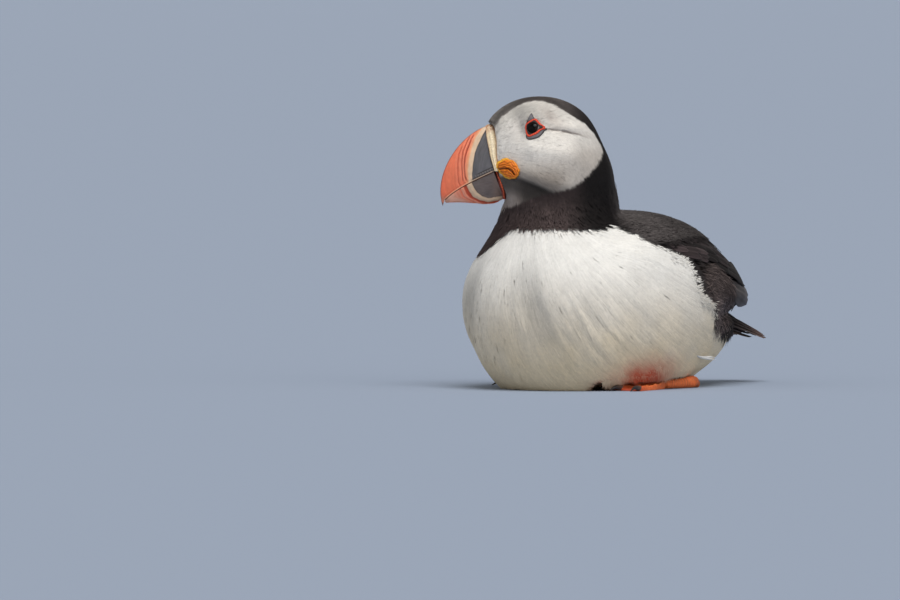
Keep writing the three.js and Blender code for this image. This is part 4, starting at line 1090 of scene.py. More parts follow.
def shell(fn, nu, nv, capped=True):
    """A closed body from a ridge: ring after ring, down the left side and up the right."""
    v = np.linspace(0, 1, nv)
    sides = np.concatenate([-np.ones(nv), np.ones(nv - 1)])
    vs = np.concatenate([v, v[::-1][:-1]])
    u = np.linspace(0, 1, nu)
    U, S = np.repeat(u, len(vs)), np.tile(sides, nu)
    W = np.tile(vs, nu)
    V = fn(S, U, W)
    nr = len(vs)
    F = [grid_faces(nu, nr, wrap_v=True)]
    first, last = V[:nr].mean(0), V[-nr:].mean(0)
    V = np.concatenate([V, [first, last]])
    j = np.arange(nr)
    k = (j + 1) % nr
    F.append(np.stack([np.full(nr, len(V) - 2), k, j], 1))
    b = (nu - 1) * nr
    F.append(np.stack([np.full(nr, len(V) - 1), b + j, b + k], 1))
    F = facing_out(V, F)
    return V, F, (np.append(U, [0, 1]), np.append(S, [0, 0]), np.append(W, [0.5, 0.5]))


def tube(C, radius, m=8, ups=None, squash=1.0):
    """A round cord along C, closed at both ends."""
    C = np.asarray(C, float)
    n = len(C)
    T = unit(np.gradient(C, axis=0))
    up = np.tile([0.0, 0, 1], (n, 1)) if ups is None else ups
    B = unit(np.cross(up, T))
    N_ = np.cross(T, B)
    a = np.linspace(0, 2 * np.pi, m, endpoint=False)
    r = np.broadcast_to(radius, n)[:, None, None]
    V = C[:, None] + r * (np.cos(a)[None, :, None] * B[:, None] + squash * np.sin(a)[None, :, None] * N_[:, None])
    V = V.reshape(-1, 3)
    F = [grid_faces(n, m, wrap_v=True)]
    V = np.concatenate([V, C[:1], C[-1:]])
    j = np.arange(m)
    k = (j + 1) % m
    F.append(np.stack([np.full(m, len(V) - 2), k, j], 1))
    F.append(np.stack([np.full(m, len(V) - 1), (n - 1) * m + j, (n - 1) * m + k], 1))
    return V, facing_out(V, F)


def slab(top, bottom, nu, nv):
    """A closed sheet between two surfaces over the unit square."""
    U, W = [a.ravel() for a in np.meshgrid(np.linspace(0, 1, nu), np.linspace(0, 1, nv), indexing="ij")]
    V = np.concatenate([top(U, W), bottom(U, W)])
    n = nu * nv
    F = [grid_faces(nu, nv), grid_faces(nu, nv, base=n, flip=True)]
    i, j = np.arange(nu), np.arange(nv)
    loop = np.concatenate([i * nv, (nu - 1) * nv + j[1:], i[::-1][1:] * nv + nv - 1, j[::-1][1:-1]])
    a, b = loop, np.roll(loop, -1)
    F.append(np.stack([b, a, a + n, b + n], 1))
    return V, facing_out(V, F), (np.concatenate([U, U]), np.concatenate([W, W]))


def body_of(H):
    return body_field(from_head(H))


def side_of(hx, hz, height, out, f=None):
    f = f or (lambda H: coat_field(from_head(H)))
    lo, hi = np.zeros(len(hx)), np.full(len(hx), 45.0)
    for _ in range(34):
        m = (lo + hi) / 2
        inside = f(np.stack([hx, out * m, hz], 1)) - height < 0
        lo, hi = np.where(inside, m, lo), np.where(inside, hi, m)
    return out * (lo + hi) / 2


M_BILL = horn_material("bill_look", rough=0.36, spec=0.42, coat=0.12, bump=0.25, scale=420.0, dist=0.00012, var=0.07, sub=0.05)
M_CERE = horn_material("cere_look", rough=0.62, spec=0.3, bump=0.6, scale=1500.0, dist=0.00015, var=0.14)
M_ROSE = horn_material("rosette_look", rough=0.5, spec=0.4, bump=0.5, scale=1100.0, dist=0.00018, var=0.12, sub=0.12)
M_RIM = horn_material("eye_rim_look", rough=0.52, spec=0.4, bump=0.6, scale=1600.0, dist=0.00015, var=0.15)
M_PLATE = horn_material("eye_plate_look", rough=0.6, spec=0.3, bump=0.4, scale=1400.0, dist=0.0001, var=0.12)
M_LID = horn_material("eye_lid_look", rough=0.5, spec=0.35, bump=0.5, scale=2000.0, dist=0.0001, var=0.2)
M_EYE = horn_material("eye_look", rough=0.12, spec=0.10, coat=0.0, bump=0.0, scale=1500.0, dist=0.00001, var=0.25)
M_FOOT = horn_material("foot_look", rough=0.48, spec=0.4, bump=0.55, scale=1150.0, dist=0.0002, var=0.1, sub=0.08, cells=True)
M_CLAW = horn_material("claw_look", rough=0.34, spec=0.5, coat=0.1, bump=0.2, scale=900.0, dist=0.0001, var=0.25)

# ------------------------------------------------------------------ bill
CULMEN = ([-28.4, 12.4], [-41.5, 8.4], [-54.8, -10.5], [-49.7, -25.9])
TOMIUM = ([-25.6, -9.2], [-33.5, -13.2], [-43.5, -17.0], [-48.9, -23.2])
GONYS = ([-20.6, -22.2], [-26, -27.6], [-34.5, -23.2], [-48.0, -24.4])
BASE = 7.4
GREY_EDGE = bill_line((862, 205), (855, 230), (790, 330), (720, 470), (660, 620), (630, 780), (612, 950), (620, 1060))
CREAM = bill_line((862, 150), (850, 190), (790, 290), (710, 400), (650, 560), (610, 720), (588, 900), (600, 1080))
GROOVES = (
    (bill_line((650, 330), (600, 400), (540, 560), (500, 700), (485, 850), (500, 1000), (535, 1100)), 0.26, 0.42, 1.0),
    (bill_line((585, 360), (535, 440), (470, 600), (450, 760), (455, 900), (470, 1100)), 0.24, 0.30, 0.75),
    (bill_line((460, 520), (400, 650), (385, 800), (385, 950), (400, 1100), (430, 1175)), 0.20, 0.22, 0.55),
)
LOW_EDGE = bill_line((605, 1085), (615, 1120), (650, 1190), (700, 1260), (780, 1320), (880, 1352), (980, 1335), (1130, 1310))
LOW_REAR = bill_line((1040, 960), (1055, 1000), (1082, 1080), (1120, 1180), (1150, 1330))
ORANGE = srgb(204, 104, 74, 1.22)
ORANGE_PALE = srgb(226, 140, 112, 1.15)
CREAMY = srgb(212, 184, 156, 1.05)
TAN = srgb(212, 150, 112, 1.15)
SLATE = srgb(86, 85, 90, 1.1)
RED_DARK = srgb(122, 38, 28, 1.2)
TOMIUM_LINE = bez(*TOMIUM, np.linspace(0, 1, 24))
CULMEN_LINE = bez(*CULMEN, np.linspace(0, 1, 40))
GONYS_LINE = bez(*GONYS, np.linspace(0, 1, 30))


def swell(v):
    return np.maximum(0, 1 - (1 - v) ** 2.2) ** 0.6


def taper(s):
    return BASE * (1 - 0.97 * s) ** 0.72 * (1 - 0.12 * np.sin(np.pi * s))


def base_curve(v):
    return 1.15 * np.maximum(np.sin(np.pi * v), 0) ** 1.2


def bill_upper_at(side, s, v):
    a, b = bez(*CULMEN, s), bez(*TOMIUM, s)
    t = taper(s) * (0.66 + 0.34 * v) * swell(v)
    bulge = 2.2 * np.sin(np.pi * v) * (1 - s) * s + base_curve(v) * (1 - s)
    return np.stack([a[:, 0] + (b[:, 0] - a[:, 0]) * v - bulge, side * t, a[:, 1] + (b[:, 1] - a[:, 1]) * v], 1)


def bill_lower_at(side, s, v):
    b, a = bez(*TOMIUM, s), bez(*GONYS, s)
    t = taper(s) * (0.99 - 0.3 * v) * swell(1 - v)
    return np.stack([a[:, 0] + (b[:, 0] - a[:, 0]) * (1 - v), side * t, a[:, 1] + (b[:, 1] - a[:, 1] - 0.45) * (1 - v) - 0.05], 1)


def bill_bands(hx, hz):
    """Relief and colour of the upper half of the bill."""
    n = len(hx)
    P2 = np.stack([hx, 0 * hx, hz], 1)
    wob = (noise(P2, 2.3, 41) - 0.5) * 0.35
    dg = line_distance(hx, hz, GREY_EDGE)[0] + wob * 0.5
    dc, tc = line_distance(hx, hz, CREAM)
    dt = np.abs(line_distance(hx, hz, TOMIUM_LINE)[0])
    dk = np.abs(line_distance(hx, hz, CULMEN_LINE)[0])
    tip = np.hypot(hx + 49.7, hz + 25.6)
    # long faint streaks that run with the bands
    st = noise(np.stack([dc, 0 * dc, tc * 9], 1), 0.55, 42) - 0.5
    c = np.tile(ORANGE, (n, 1))
    c = mix(c, np.tile(srgb(206, 94, 66, 1.2), (n, 1)), ease((hx + 47) / -3) * 0.6)
    front = ease((-0.9 - dc) / 2.6)
    c = mix(np.tile(TAN, (n, 1)), c, front)
    c = mix(np.tile(CREAMY, (n, 1)), c, ease((-0.75 - dc) / 0.9))
    c = mix(c, np.tile(ORANGE_PALE, (n, 1)), ease((-20.2 - hz) / 3.5) * 0.75)
    relief = 0.28 * bump_gauss(dc, 0.95)
    for line, sig, deep, w in GROOVES:
        d, t = line_distance(hx, hz, line)
        d = d + wob * 0.6
        fade = ease(t / 0.06 + 0.3) * ease((1 - t) / 0.10 + 0.15)
        c = mix(c, np.tile(ORANGE_PALE, (n, 1)), w * 0.55 * (bump_gauss(d - 0.75, 0.3) + bump_gauss(d + 0.8, 0.3)) * fade)
        c = mix(c, np.tile(RED_DARK, (n, 1)), clamp(w * 0.95 * bump_gauss(d, sig) * fade))
        relief -= deep * bump_gauss(d, sig * 1.35) * fade
        relief += 0.14 * (bump_gauss(d - 0.75, 0.35) + bump_gauss(d + 0.8, 0.35)) * fade
    c = c * (1 + 0.16 * st)[:, None]
    grey = ease(dg / 0.22 + 0.5)
    g = np.tile(SLATE, (n, 1)) * (0.92 + 0.35 * (noise(np.stack([dg, 0 * dg, hz * 0.16], 1), 0.5, 43) - 0.5) + 0.10 * ease((dg - 1) / 4))[:, None]
    g = mix(g, np.tile(SLATE * 0.35, (n, 1)), 0.55 * bump_gauss(dg - 0.25, 0.28))
    c = mix(c, g, grey)
    relief -= 0.22 * ease(dg / 0.6)
    # the cutting edge: pale lip, dark line, hatched strip, dark line
    back = ease((hx + 36.5) / 3)
    strip = ease((2.15 - dt) / 0.3) * back
    hatch = 0.75 + 0.3 * np.sin(hx * 4.6 + hz * 2.0)
    c = mix(c, np.tile(srgb(112, 106, 104, 1.15), (n, 1)) * hatch[:, None], strip * 0.75)
    c = mix(c, np.tile(srgb(30, 22, 22), (n, 1)), clamp(bump_gauss(dt - 2.1, 0.22) * ease((hx + 34.5) / 2) * 0.95))
    c = mix(c, np.tile(srgb(34, 24, 23), (n, 1)), clamp(bump_gauss(dt - 0.75, 0.22) * ease((hx + 37) / 2) * 0.95))
    c = mix(c, np.tile(srgb(214, 180, 150, 1.1), (n, 1)), clamp(bump_gauss(dt - 0.22, 0.17)) * 0.7)
    c = mix(c, np.tile(srgb(110, 66, 48), (n, 1)), clamp(bump_gauss(dt, 0.12) * ease((-43 - hx) / 3)) * 0.8)
    relief -= 0.15 * bump_gauss(dt - 0.75, 0.25)
    c = mix(c, np.tile(srgb(96, 62, 52, 1.0), (n, 1)), clamp(bump_gauss(dk, 0.28)) * 0.75)
    c = mix(c, np.tile(srgb(74, 60, 56, 1.0), (n, 1)), ease((2.2 - tip) / 1.4) * 0.8)
    c = mix(c, np.tile(srgb(150, 105, 88, 1.0), (n, 1)), bump_gauss(tip - 3, 1.4) * 0.5)
    c *= (0.94 + 0.12 * noise(P2, 4.5, 44))[:, None]
    return relief, np.maximum(c, 0.004)


def low_bands(hx, hz):
    """Relief and colour of the lower half of the bill."""
    n = len(hx)
    P2 = np.stack([hx, 0 * hx, hz], 1)
    wob = (noise(P2, 2.3, 45) - 0.5) * 0.3
    d = line_distance(hx, hz, LOW_EDGE)[0]
    top = line_distance(hx, hz, TOMIUM_LINE)[0]
    # in front of the grey the bands run up to the cutting edge
    w = (-d + wob) * (1 + 0.45 * ease((-21.5 - hz) / 2.5)) / 0.0297
    w = np.where(d > 0, 0, w)
    c = np.tile(srgb(205, 122, 96, 1.2), (n, 1))
    c = mix(np.tile(ORANGE, (n, 1)), c, ease((w - 205) / 60))
    c = mix(np.tile(ORANGE_PALE, (n, 1)), c, ease((w - 176) / 16))
    c = mix(np.tile(srgb(164, 62, 36, 1.2), (n, 1)), c, ease((w - 140) / 22))
    c = mix(np.tile(CREAMY * 0.95, (n, 1)), c, ease((w - 82) / 26))
    for a, k in ((192, 0.45), (250, 0.25), (300, 0.22), (350, 0.18)):
        c = mix(c, np.tile(srgb(232, 186, 164, 1.1), (n, 1)), k * bump_gauss(w - a, 13))
    c = mix(c, np.tile(srgb(226, 192, 172, 1.1), (n, 1)), 0.5 * ease((w - 260) / 140))
    relief = -0.3 * bump_gauss(w - 112, 16) + 0.2 * bump_gauss(w - 165, 14) - 0.18 * bump_gauss(w - 212, 12) + 0.2 * bump_gauss(w - 45, 26)
    grey = ease(d / 0.2 + 0.5)
    g = np.tile(srgb(104, 93, 90, 1.2), (n, 1)) * (0.95 + 0.3 * (noise(P2 * [0.5, 1, 1.6], 0.9, 46) - 0.5))[:, None]
    g = mix(g, np.tile(srgb(140, 112, 98, 1.1), (n, 1)), 0.45 * ease((hx + 28) / 5))
    g = mix(g, np.tile(srgb(44, 36, 35), (n, 1)), 0.55 * bump_gauss(d - 0.2, 0.25))
    c = mix(c, g, grey)
    relief -= 0.2 * ease(d / 0.6)
    c = mix(c, np.tile(srgb(96, 70, 62, 1.0), (n, 1)), bump_gauss(top, 0.3) * 0.6)
    rear = line_distance(hx, hz, LOW_REAR)[0]
    c = mix(c, np.tile(srgb(168, 58, 38, 1.2), (n, 1)), clamp(ease((rear + 0.55) / 0.5)) * 0.92)
    gon = np.abs(line_distance(hx, hz, GONYS_LINE)[0])
    c = mix(c, np.tile(ORANGE, (n, 1)), bump_gauss(gon, 0.45) * 0.7)
    tip = np.hypot(hx + 48, hz + 24)
    c = mix(c, np.tile(srgb(170, 130, 112, 1.1), (n, 1)), ease((2.4 - tip) / 1.6) * 0.6)
    return relief, np.maximum(c, 0.004)


def build_bill(name, at, bands, nu, nv):
    V, F, (U, S, W) = shell(at, nu, nv)
    nrm = vertex_normals(V, F)
    relief, c = bands(V[:, 0], V[:, 2])
    edge = ease(U / 0.02) * ease((1 - U) / 0.04)
    V = V + nrm * (relief * edge * clamp(np.abs(nrm[:, 1]) * 1.5))[:, None]
    ob = make_mesh(name + "_look", from_head(V), F, M_BILL, c)
    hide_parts(name)


build_bill("bill_upper", bill_upper_at, bill_bands, 150, 64)
build_bill("bill_lower", bill_lower_at, low_bands, 120, 40)


def lining_at(side, s, v):
    b = bez(*TOMIUM, s * 0.985)
    t = taper(s * 0.985) * (0.97 - 0.10 * s) * (1 - 0.12 * (2 * v - 1) ** 2) * np.minimum(1, v * 60)
    return np.stack([b[:, 0] + 0.12, side * t - side * 0.16, b[:, 1] + 0.55 - 1.35 * v], 1)


V, F, (U, S, W) = shell(lining_at, 70, 9)
c = np.tile(srgb(104, 72, 62), (len(V), 1)) * (0.7 + 0.5 * noise(V, 0.8, 55))[:, None]
make_mesh("mouth_lining", from_head(V), F, M_LID, c)

# ------------------------------------------------------------------ cere, gape and the beaded edge behind them
def cere_at(side, s, v):
    a, b = np.array(CULMEN[0]), np.array(TOMIUM[0])
    ex = a[0] + (b[0] - a[0]) * v - base_curve(v)
    ez = a[1] + (b[1] - a[1]) * v
    x0 = ex + 0.2 - 1.0 * ease((0.55 - v) / 0.5)
    x1 = feather_line(ez + 0.6 * (1 - v)) + 0.15
    w = taper(0.0) * (0.7 + 0.3 * v) * swell(v) + (0.25 + 1.15 * np.sin(np.pi * clamp(0.12 + 0.76 * s)) ** 0.8) * ease(v / 0.1)
    w = w + 0.14 * np.sin(s * 19) * ease(v / 0.2)
    return np.stack([x0 + (x1 - x0) * s, side * w, ez + (1 - v) * (0.6 * s + 0.5 * np.sin(np.pi * s))], 1)


V, F, (U, S, W) = shell(cere_at, 20, 70)
pits = noise(V, 0.5, 47)
c = np.tile(srgb(208, 190, 158, 1.12), (len(V), 1))
# a painted highlight: a pale line runs down the middle of the cere
c = mix(c, np.tile(srgb(236, 224, 200, 1.1), (len(V), 1)), bump_gauss(U - 0.5, 0.16) * 0.65)
c = mix(c, np.tile(srgb(158, 112, 88, 1.1), (len(V), 1)), ease((0.22 - W) / 0.16) * (0.35 + 0.6 * ease((pits - 0.4) / 0.2)))
c = mix(c, np.tile(srgb(150, 96, 70, 1.1), (len(V), 1)), clamp(ease((U - 0.86) / 0.1) * 0.6 + ease((0.08 - U) / 0.06) * 0.6))
c = c * (0.86 + 0.26 * pits)[:, None]
ob = make_mesh("cere_look", from_head(V), F, M_CERE, c)
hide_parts("cere")

for side, out in (("left", -1), ("right", 1)):
    # bare red skin at the corner of the mouth
    t = np.linspace(0, 1, 60)
    line = np.stack([np.interp(t, [0, 0.3, 0.7, 1], [-24.4, -22.7, -21.0, -20.5]), np.interp(t, [0, 0.3, 0.7, 1], [-9.6, -13.6, -18.6, -22.4])], 1)
    y = side_of(line[:, 0] + 0.9, line[:, 1], 0.0, out, body_of) * np.interp(t, [0, 0.5, 1], [0.78, 0.86, 0.70])
    y = out * np.minimum(np.abs(y), np.interp(t, [0, 0.4, 1], [8.6, 8.3, 5.6]))
    C = np.stack([line[:, 0], y, line[:, 1]], 1)
    r = (0.34 + 0.10 * np.sin(t * 70) + 0.06 * np.sin(t * 113)) * (0.55 + 0.45 * np.sin(np.pi * clamp(t * 0.9 + 0.08)))
    V, F = tube(C, r, 10)
    c = np.tile(srgb(196, 84, 50, 1.1), (len(V), 1)) * (0.7 + 0.55 * noise(V, 0.6, 48))[:, None]
    make_mesh("gape_" + side, from_head(V), F, M_RIM, c)
    V, F = tube(C * [1, 0.80, 1] + [0.1, 0, 0], 1.05 * (0.75 + 0.25 * np.sin(np.pi * t)), 12)
    c = np.tile(srgb(120, 48, 36), (len(V), 1)) * (0.75 + 0.5 * noise(V, 0.6, 48))[:, None]
    make_mesh("gape_lining_" + side, from_head(V), F, M_RIM, c)
    t = np.linspace(0, 1, 150)
    hz = 13.0 - 20.5 * t
    v = clamp((CULMEN[0][1] - hz) / (CULMEN[0][1] - TOMIUM[0][1]))
    w = taper(0.0) * (0.7 + 0.3 * v) * swell(v) + 0.55 * ease(v / 0.1)
    C = np.stack([feather_line(hz) + 0.12, out * w, hz], 1)
    V, F = tube(C, 0.17 + 0.13 * np.abs(np.sin(t * 62)), 7)
    c = np.tile(srgb(206, 104, 62, 1.1), (len(V), 1)) * (0.7 + 0.5 * noise(V, 0.5, 49))[:, None]
    make_mesh("cere_beads_" + side, from_head(V), F, M_RIM, c)

# ------------------------------------------------------------------ gape rosettes
SLIT = np.array([(-24.0, -8.3), (-21.2, -7.7), (-19.0, -7.9), (-17.2, -9.2), (-16.4, -10.6)])
for side, out in (("left", -1), ("right", 1)):
    nr, na = 34, 96
    R, A = np.meshgrid(np.linspace(0, 1, nr)[1:], np.linspace(0, 2 * np.pi, na, endpoint=False), indexing="ij")
    R, A = np.append(R.ravel(), 0), np.append(A.ravel(), 0)

    def outline(R, A):
        k = 1 + 0.20 * np.exp(-(((np.abs(A - np.pi) - 0.05) / 0.30) ** 2)) + 0.025 * np.sin(7 * A + 1) + 0.02 * np.sin(12 * A)
        x = -18.9 + R * k * 5.0 * np.cos(A)
        return x, -7.9 + R * k * 4.9 * np.sin(A) - 0.25 * R * 5.0 * np.cos(A)

    hx, hz = outline(R, A)
    d, t = line_distance(hx, hz, SLIT)
    wob = (noise(np.stack([hx, 0 * hx, hz], 1), 1.3, 50) - 0.5) * 0.7
    ring = np.abs(d) * (1 - 0.35 * R) + 2.2 * R**2 * 0.55 + 1.6 * wob
    fold = np.cos(2 * np.pi * ring / 1.05)
    hgt = 0.2 + 2.0 * np.sqrt(np.maximum(0, 1 - R**2.6)) + 0.26 * fold * (1 - 0.6 * R**4)
    hgt -= 1.15 * bump_gauss(d, 0.42) * ease((1 - R) / 0.15)
    y = side_of(hx, hz, hgt, out, body_of)
    top = np.stack([hx, y, hz], 1)
    under = np.stack([hx, side_of(hx, hz, np.full(len(hx), -0.6), out, body_of), hz], 1)
    n = len(R)
    V = np.concatenate([top, under])
    F = [grid_faces(nr - 1, na, wrap_v=True), grid_faces(nr - 1, na, wrap_v=True, base=n, flip=True)]
    j = np.arange(na)
    k = (j + 1) % na
    F.append(np.stack([np.full(na, n - 1), j, k], 1))
    F.append(np.stack([np.full(na, 2 * n - 1), n + k, n + j], 1))
    o = (nr - 2) * na
    F.append(np.stack([o + j, n + o + j, n + o + k, o + k], 1))
    F = facing_out(V, F)
    c = np.tile(srgb(222, 122, 22, 1.02), (n, 1))
    # painted shade in the troughs of the folds and in the sunken slit
    c = mix(c, np.tile(srgb(150, 62, 14, 1.0), (n, 1)), clamp(0.42 - 0.55 * fold) * 0.42)
    c = mix(c, np.tile(srgb(62, 26, 14, 1.0), (n, 1)), clamp(bump_gauss(d, 0.36) * 0.9))
    rim = ease((R - 0.80) / 0.12)
    left = ease((-hx - 18.2) / 2 + 0.3)
    c = mix(c, np.tile(srgb(240, 176, 46, 1.1), (n, 1)), rim * (0.25 + 0.65 * left))
    c = mix(c, np.tile(srgb(120, 56, 22, 1.0), (n, 1)), ease((R - 0.965) / 0.03) * 0.7)
    c = c * (0.85 + 0.3 * noise(top, 0.8, 51))[:, None]
    ob = make_mesh(f"rosette_{side}_look", from_head(V), F, M_ROSE, np.concatenate([c, c]))
    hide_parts("rosette_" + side)


# ------------------------------------------------------------------ eyes
def skin_frame(hx, hz, out, f=None):
    f = f or (lambda H: coat_field(from_head(H)))
    p = np.array([hx, side_of(np.array([hx]), np.array([hz]), 0.0, out, f)[0], hz])
    n = np.array([(f((p + e)[None]) - f((p - e)[None]))[0] for e in np.eye(3) * 0.4])
    n /= np.linalg.norm(n)
    a = np.array([1.0, 0, 0]) - n * n[0]
    a /= np.linalg.norm(a)
    b = np.cross(n, a)
    if b[2] < 0:
        b = -b

    def lift(u, v, height):
        q = p + np.outer(u, a) + np.outer(v, b)
        h = np.zeros(len(q))
        for _ in range(12):
            h = h + np.clip(height - f(q + h[:, None] * n), -2, 2)
        return q + h[:, None] * n

    return p, n, a, b, lift


def around(x, at, w):
    return np.exp(-((((x - at + np.pi) % (2 * np.pi)) - np.pi) / w) ** 2)


def rim_radius(a):
    return 3.60 + 0.50 * around(a, 1.25, 0.30) - 0.30 * around(a, 1.95, 0.40) + 0.30 * around(a, 2.62, 0.25) + 1.75 * around(a, -0.06, 0.26) + 0.75 * around(a, 4.22, 0.38) - 0.15 * around(a, 3.3, 0.35)


def hoop(R0, fn, na=160, nb=14):
    A, B = [x.ravel() for x in np.meshgrid(np.linspace(0, 2 * np.pi, na, endpoint=False), np.linspace(0, 2 * np.pi, nb, endpoint=False), indexing="ij")]
    V = fn(A, B)
    F = facing_out(V, [grid_faces(na, nb, wrap_u=True, wrap_v=True)])
    return V, F, A, B


for side, out in (("left", -1), ("right", 1)):
    cad = skin_frame(-7.5, 12.3, out, body_of)
    p, nn, a, b, lift = skin_frame(-7.6, 11.8, out)
    centre = p + nn * (1.25 - 4.1)
    # eyeball: dark brown iris, black pupil
    nu, nv = 40, 56
    T, A = np.meshgrid(np.linspace(0, np.pi, nu), np.linspace(0, 2 * np.pi, nv, endpoint=False), indexing="ij")
    T, A = T.ravel(), A.ravel()
    V = centre + 4.1 * (np.outer(np.cos(T), nn) + np.outer(np.sin(T) * np.cos(A), a) + np.outer(np.sin(T) * np.sin(A), b))
    F = facing_out(V, [grid_faces(nu, nv, wrap_v=True)])
    r = 4.1 * np.sin(T)
    c = np.tile(srgb(19, 12, 10), (len(V), 1)) * (0.8 + 0.5 * noise(np.stack([A * 6, T * 3, 0 * A], 1), 1.0, 52))[:, None]
    c = mix(np.tile(srgb(5, 4, 5), (len(V), 1)), c, ease((r - 1.55) / 0.2))
    c = mix(c, np.tile(srgb(12, 9, 9), (len(V), 1)), ease((r - 2.5) / 0.3))
    ob = make_mesh(f"eye_{side}_look", from_head(V), F, M_EYE, c)
    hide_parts("eye_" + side)

    # black lids close on the ball inside the red rim
    def lid(A, B):
        inner = 2.78 - 0.22 * around(A, 1.45, 0.9)
        outer = rim_radius(A) - 0.05
        k = 0.5 - 0.5 * np.cos(B)
        rr = inner + (outer - inner) * k
        up = np.where(np.sin(B) >= 0, 1.0, -1.0) * np.abs(np.sin(B)) ** 0.7
        ball = np.sqrt(np.maximum(4.1**2 - np.minimum(rr, 3.6) ** 2, 0.1)) - 2.85
        base = ball * (1 - ease(k * 1.3)) + 0.30 * ease(k * 1.3)
        q = p + np.outer(rr * np.cos(A), a) + np.outer(rr * np.sin(A), b)
        free = q + np.outer(base + 0.10 + 0.26 * up, nn)
        on = lift(rr * np.cos(A), rr * np.sin(A), 0.25 + 0.26 * up)
        w = ease((k - 0.25) / 0.75)[:, None]
        return free * (1 - w) + on * w

    V, F, A, B = hoop(0, lid)
    c = np.tile(srgb(26, 20, 20), (len(V), 1)) * (0.8 + 0.6 * noise(V, 0.4, 53))[:, None]
    # a thin pale crescent is painted on the lid at the back of the eye: a painted reflection
    c = mix(c, np.tile(srgb(150, 140, 138), (len(V), 1)), around(A, -0.25, 0.34) * bump_gauss(np.cos(B) - 0.86, 0.22) * (np.sin(B) > 0) * 0.85)
    make_mesh("eyelids_" + side, from_head(V), F, M_LID, c)

    def red(A, B):
        bead = 1 + 0.10 * np.sin(26 * A + 2 * np.sin(3 * A)) + 0.05 * np.sin(43 * A)
        rr = rim_radius(A) + 0.56 * bead * np.cos(B)
        return lift(rr * np.cos(A), rr * np.sin(A), 0.42 + 0.46 * bead * np.sin(B))

    V, F, A, B = hoop(0, red, 220, 12)
    c = np.tile(srgb(196, 52, 30, 1.15), (len(V), 1))
    # painted highlight on the beads' crests and painted shade on the ring's inner side
    c = mix(c, np.tile(srgb(232, 92, 52, 1.1), (len(V), 1)), ease(np.sin(26 * A + 2 * np.sin(3 * A)) * 0.5 + 0.5) * ease(np.sin(B)) * 0.6)
    c = mix(c, np.tile(srgb(96, 24, 20), (len(V), 1)), ease(-np.cos(B) * 0.9) * 0.7)
    ob = make_mesh(f"eye_rim_{side}_look", from_head(V), F, M_RIM, c)
    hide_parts("eye_rim_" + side)

    # horny plates
    def upper_plate(u, v):
        left = np.stack([-3.75 + 2.55 * u**0.9, 2.5 + 5.4 * u], 1)
        right_ = np.stack([1.55 - 2.3 * u, 4.2 + 3.8 * u - 0.45 * np.sin(np.pi * u)], 1)
        q = left * (1 - v)[:, None] + right_ * v[:, None]
        return q[:, 0], q[:, 1] + 0.35 * np.sin(np.pi * v) * (1 - u) ** 2

    def lower_plate(u, v):
        t = np.radians(-140 + 134 * u)
        r = rim_radius(t) + 0.50 + (1 - v) * (0.2 + 1.65 * np.sin(np.pi * (0.04 + 0.92 * (1 - u) ** 0.85)) ** 0.7)
        return r * np.cos(t), r * np.sin(t)

    for nm, fn, hi in (("upper", upper_plate, 0.5), ("lower", lower_plate, 0.5)):
        V, F, (U, W) = slab(
            lambda u, v: lift(*fn(u, v), 0.30 + hi * (np.maximum(np.sin(np.pi * clamp(u * 0.96 + 0.02)) * np.sin(np.pi * v), 0)) ** 0.55),
            lambda u, v: lift(*fn(u, v), np.full(len(u), -0.3)), 44, 26,
        )
        edge = 1 - (np.maximum(np.sin(np.pi * U) * np.sin(np.pi * W), 0)) ** 0.4
        c = np.tile(srgb(98, 96, 101, 1.0), (len(V), 1))
        c = mix(c, np.tile(srgb(38, 34, 37), (len(V), 1)), ease((edge - 0.22) / 0.4) * 0.9)
        c = c * (0.8 + 0.4 * noise(V, 0.7, 54))[:, None]
        ob = make_mesh(f"eye_plate_{nm}_{side}_look", from_head(V), F, M_PLATE, c)
        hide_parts(f"eye_plate_{nm}_{side}")

